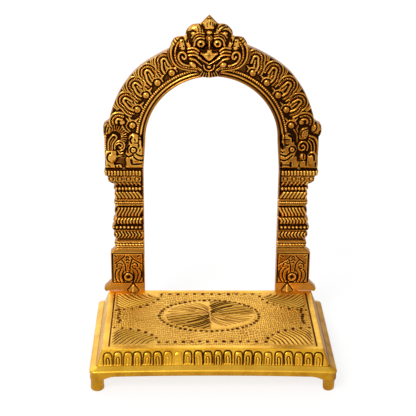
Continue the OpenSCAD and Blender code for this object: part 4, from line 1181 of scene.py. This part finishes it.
# Ribs, alike on both sides: two brows and a lid, whiskers, tusk, lip, chin and beard, then the scroll, a
# beaded band and a plain one.
side_ribs = [
    ([(13.0, 12.8), (10.8, 15.6), (7.4, 16.7), (3.8, 16.1)], 1.9, 2.0),
    ([(11.9, 10.4), (10.4, 13.6), (7.4, 14.9), (3.9, 14.4)], 1.5, 2.0),
    ([(11.0, 7.2), (10.2, 10.9), (7.2, 13.0), (3.9, 12.5)], 2.5, 2.7),
    ([(15.8, 4.8), (11.7, 5.5), (9.0, 4.4), (7.6, 3.2)], 2.4, 2.1),
    ([(15.6, 2.4), (11.2, 2.9), (8.2, 1.2)], 2.3, 2.2),
    ([(15.2, -0.1), (11.2, 0.4), (7.6, -1.0), (6.0, -2.2)], 2.4, 2.3),
    ([(14.0, -2.6), (10.4, -3.5), (7.9, -5.6), (5.4, -8.0)], 3.2, 2.5, 0, 0.5),
    ([(7.8, -1.8), (4.1, -4.2), (0.0, -6.7)], 1.9, 2.5),
    ([(4.0, -7.4), (3.3, -10.2), (1.7, -11.6), (0.0, -12.0)], 1.8, 1.9),
    ([(8.2, -9.6), (5.2, -11.6)], 1.3, 1.5),
    ([(1.9, -14.0), (2.7, -18.0)], 1.3, 1.5),
    ([(3.5, -13.5), (5.0, -17.7)], 1.3, 1.5),
    ([(4.9, -12.7), (7.1, -16.8)], 1.3, 1.5),
    ([(19.8, -1.4), (18.8, -2.9), (17.3, -2.5), (17.1, 0.0), (18.9, 1.9), (21.2, 1.7), (22.5, -0.4),
      (22.2, -3.4), (20.4, -6.0), (17.6, -7.6), (14.6, -8.2)], 2.6, 2.3),
    ([(22.4, 9.4), (24.2, 6.0), (25.0, 2.0), (24.9, -1.9), (23.2, -6.2), (19.8, -9.0), (14.8, -10.2),
      (9.0, -10.7), (6.2, -12.0)], 2.3, 2.0, 1.25),
    ([(26.4, 8.2), (27.8, 4.0), (28.1, 0.4), (27.4, -3.6), (25.0, -7.8), (20.6, -10.9), (14.4, -12.1),
      (9.4, -12.8)], 2.2, 1.8),
    ([(17.6, 14.4), (16.7, 10.6), (14.9, 6.6)], 3.6, 1.8),
]
# Cuts, alike on both sides: lid, under the eye, mouth, chin, and the ear's and the leaf's notches.
side_cuts = [
    ([(9.6, 8.4), (8.5, 11.3), (6.0, 12.3), (3.4, 11.1), (2.3, 8.6)], 1.1, 1.3),
    ([(9.4, 6.8), (7.0, 5.2), (4.4, 5.1), (2.4, 6.6)], 1.4, 1.5),
    ([(7.2, -0.1), (3.6, -2.9), (0.0, -5.5)], 1.1, 1.6),
    ([(2.6, -7.8), (2.0, -9.8), (0.0, -10.8)], 1.0, 1.2),
    ([(2.4, -7.4), (0.0, -7.8)], 0.8, 1.0),
    ([(2.4, 18.6), (0.0, 19.0)], 1.0, 1.4),
    ([(2.2, 14.9), (0.0, 15.2)], 0.9, 1.3),
    ([(17.9, 10.4), (17.3, 7.0), (16.4, 2.8)], 1.0, 1.3),
    ([(26.9, 10.4), (24.8, 8.4)], 0.9, 1.1),
    ([(25.4, 12.0), (23.6, 10.6)], 0.9, 1.0),
]
side_pits = [
    ((6.1, 8.7), 1.4, 1.4, 1.8), ((2.3, 7.2), 1.1, 2.0, 1.6), ((4.0, 4.4), 1.6, 0.9, 1.4),
    ((16.1, 10.4), 0.8, 1.9, 1.4), ((19.6, 9.8), 0.8, 0.7, 0.9), ((21.2, 5.4), 0.8, 0.7, 0.9),
    ((18.8, 6.4), 0.6, 0.8, 0.9),
]
for side in (-1, 1):
    mirror = np.array([side, 1.0])
    for outline, rise, rounding in side_fields:
        face.field(mirror * curve(*outline, outline[0])[:-1], rise, rounding)
    face.boss(mirror * (11.5, 16.0), 2.3, 1.7, 2.4)
    face.boss(mirror * (6.1, 8.8), 3.4, 3.3, 3.5)
    for line, *stroke in side_ribs:
        face.ridge(mirror * curve(*line), *stroke)
    for line, width, depth in side_cuts:
        face.groove(mirror * curve(*line), width, depth)
    for centre, across, up, depth in side_pits:
        face.pit(mirror * centre, across, up, depth)
# Lines of the crest and hair, which differ between the sides.
hair_cuts = [
    ([(0.7, 24.6), (0.7, 22.6)], 0.8, 1.0), ([(2.4, 24.0), (2.6, 21.6)], 0.9, 1.1),
    ([(3.9, 23.0), (3.6, 21.2)], 0.9, 1.1), ([(-1.8, 24.0), (-1.5, 20.8)], 0.8, 0.5),
    ([(-1.6, 26.6), (1.3, 27.0)], 0.7, 0.8),
    ([(-7.4, 22.6), (-6.1, 20.6), (-5.8, 17.2)], 0.9, 1.2),
    ([(-8.8, 20.8), (-7.8, 19.3), (-7.7, 17.2)], 0.7, 0.6),
    ([(-14.4, 17.0), (-12.2, 18.5), (-9.8, 17.1)], 1.0, 1.3),
    ([(6.2, 19.2), (8.4, 21.3), (11.2, 21.7)], 1.0, 1.3),
    ([(8.6, 18.6), (10.8, 20.3), (13.6, 20.5)], 1.0, 1.3),
    ([(7.4, 16.8), (10.0, 18.2), (13.2, 18.0), (14.8, 16.2)], 1.0, 1.3),
]
for line, width, depth in hair_cuts:
    face.groove(curve(*line), width, depth)
face.groove(arc((0, 12.8), 1.4, 0, 360, steps=20), 0.7, 0.6)
face.pit((0, 0.4), 1.5, 1.2, 0.25)
face_share = ring_share * np.ones_like(mask_a)
face_relief = swell + (face.height() - swell) * eased(1.0, 0.965, face_share)
face_ground = np.clip(face.height() - swell, 0, None)
# Tarnish, as on the arch: brown on the ground and in the hollows, black in the cuts; wear with a painted
# highlight on the crests, and painted shade towards the right.
face_brown = 0.5
face_hollow_brown = 0.65
face_unworn_unlit_brown = 0.22
face_cut_black = 1.1
mask_back_tarnish = 0.15
face_wear_and_highlight = np.maximum(face.worn(3, 0.25), face.worn(12, 0.5))
face_tone = face_brown * eased(0.8, 0.1, face_ground) + face_hollow_brown * face.recess(4, 0.6)
face_tone = face_tone * eased(1.0, 0.95, face_share)
face_tone = np.maximum(face_tone, np.clip(face.cut / face_cut_black, 0, 1))
# Painted highlight with wear off the crests, and painted shade growing towards the right.
face_tone = face_tone + face_unworn_unlit_brown * (1 - face_wear_and_highlight) + shade_per_mm * np.clip(mask_a, 0, None)
back_share = np.array([1.0, 1.0, 1.0, 0.8, 0.5, 0.2, heart_share])[:, None]
back_depth = np.array([0.35, 0.7, 1.0, 1.0, 1.0, 1.0, 1.0])[:, None]
mask_all = np.vstack([ring_share, back_share]) * mask_edge(around)
mask_rear_y = mask_front_y + (mask_back_y - mask_front_y) * back_depth * np.ones_like(around)
mask_y = np.vstack([mask_front_y - face_relief, mask_rear_y])
mask_points = np.stack([
    mask_x + mask_all * np.cos(around), mask_y, arch_z + mask_z + mask_all * np.sin(around),
], 2)
mask_tone = np.pad(face_tone, ((0, len(back_share)), (0, 0)), constant_values=mask_back_tarnish)
mask_piece = casting("kirtimukha", mask_points, mask_tone)
fit(mask_piece, arch_brass, "arch", "kirtimukha_mask")
refinish(arch_brass, "mask_rivets")

# Floor and light: white paper on the ground, with low walls of it far off so that it runs to the picture's
# edge. An even white sky and three broad suns light it: a key, a fill and a window behind.
floor_half = 9.0
backdrop_h = 2.0
floor_corners = [(-1, -1), (1, -1), (1, 1), (-1, 1)]
floor_points = [(x * floor_half, y * floor_half, z) for z in (0, backdrop_h) for x, y in floor_corners]
backdrop_faces = [(i, i + 4, (i + 1) % 4 + 4, (i + 1) % 4) for i in range(4)]
floor_mesh = bpy.data.meshes.new("floor")
floor_mesh.from_pydata(floor_points, [], [(0, 1, 2, 3), *backdrop_faces])
floor = bpy.data.objects.new("floor", floor_mesh)
bpy.context.scene.collection.objects.link(floor)
paper = Bench("floor_paper")
matt = paper.node("ShaderNodeBsdfPrincipled", {}, {"Base Color": (0.92, 0.92, 0.92, 1), "Roughness": 0.9})
white = paper.node("ShaderNodeEmission", {}, {"Strength": 1.0})
seen = paper.node("ShaderNodeLightPath", {}, {}, "Is Camera Ray")
mirrored = paper.node("ShaderNodeLightPath", {}, {}, "Is Glossy Ray")
passed = paper.node("ShaderNodeLightPath", {}, {}, "Is Transmission Ray")
paper_glow = 0.8
whiteness = (seen + mirrored + passed) * paper_glow
paper_shader = paper.node("ShaderNodeMixShader", {}, {0: whiteness, 1: matt, 2: white})
paper.node("ShaderNodeOutputMaterial", {}, {"Surface": paper_shader})
floor_mesh.materials.append(paper.material)

sky_strength = 0.66
sky = bpy.data.worlds.new("sky")
sky.use_nodes = True
sky.node_tree.nodes["Background"].inputs["Color"].default_value = (1, 1, 1, 1)
sky.node_tree.nodes["Background"].inputs["Strength"].default_value = sky_strength
bpy.context.scene.world = sky
suns = [("key", 2.0, 24, (38, -30, 0)), ("fill", 0.3, 80, (50, 45, 0)), ("window", 0.9, 70, (-50, -40, 0))]
for name, strength, angle, tilt in suns:
    lamp = bpy.data.lights.new(name, "SUN")
    lamp.energy = strength
    lamp.angle = np.radians(angle)
    light = bpy.data.objects.new(name, lamp)
    light.rotation_euler = np.radians(tilt)
    bpy.context.scene.collection.objects.link(light)

# Camera: the photograph's view, from in front and above, looking down at the pedestal's top. Its place, tilt
# and lens were fitted to the corners of that top and to the arch.
camera_pitch = 22.04
camera_data = bpy.data.cameras.new("camera")
camera_data.lens = 103.9
camera_data.sensor_width = 36.0
camera_data.shift_x = 0.0637
camera = bpy.data.objects.new("camera", camera_data)
camera.location = (-0.0228, -0.8132, 0.4496)
camera.rotation_euler = (np.radians(90 - camera_pitch), 0, 0)
bpy.context.scene.collection.objects.link(camera)
bpy.context.scene.camera = camera

# Plain colours in the view.
bpy.context.scene.view_settings.view_transform = "Standard"
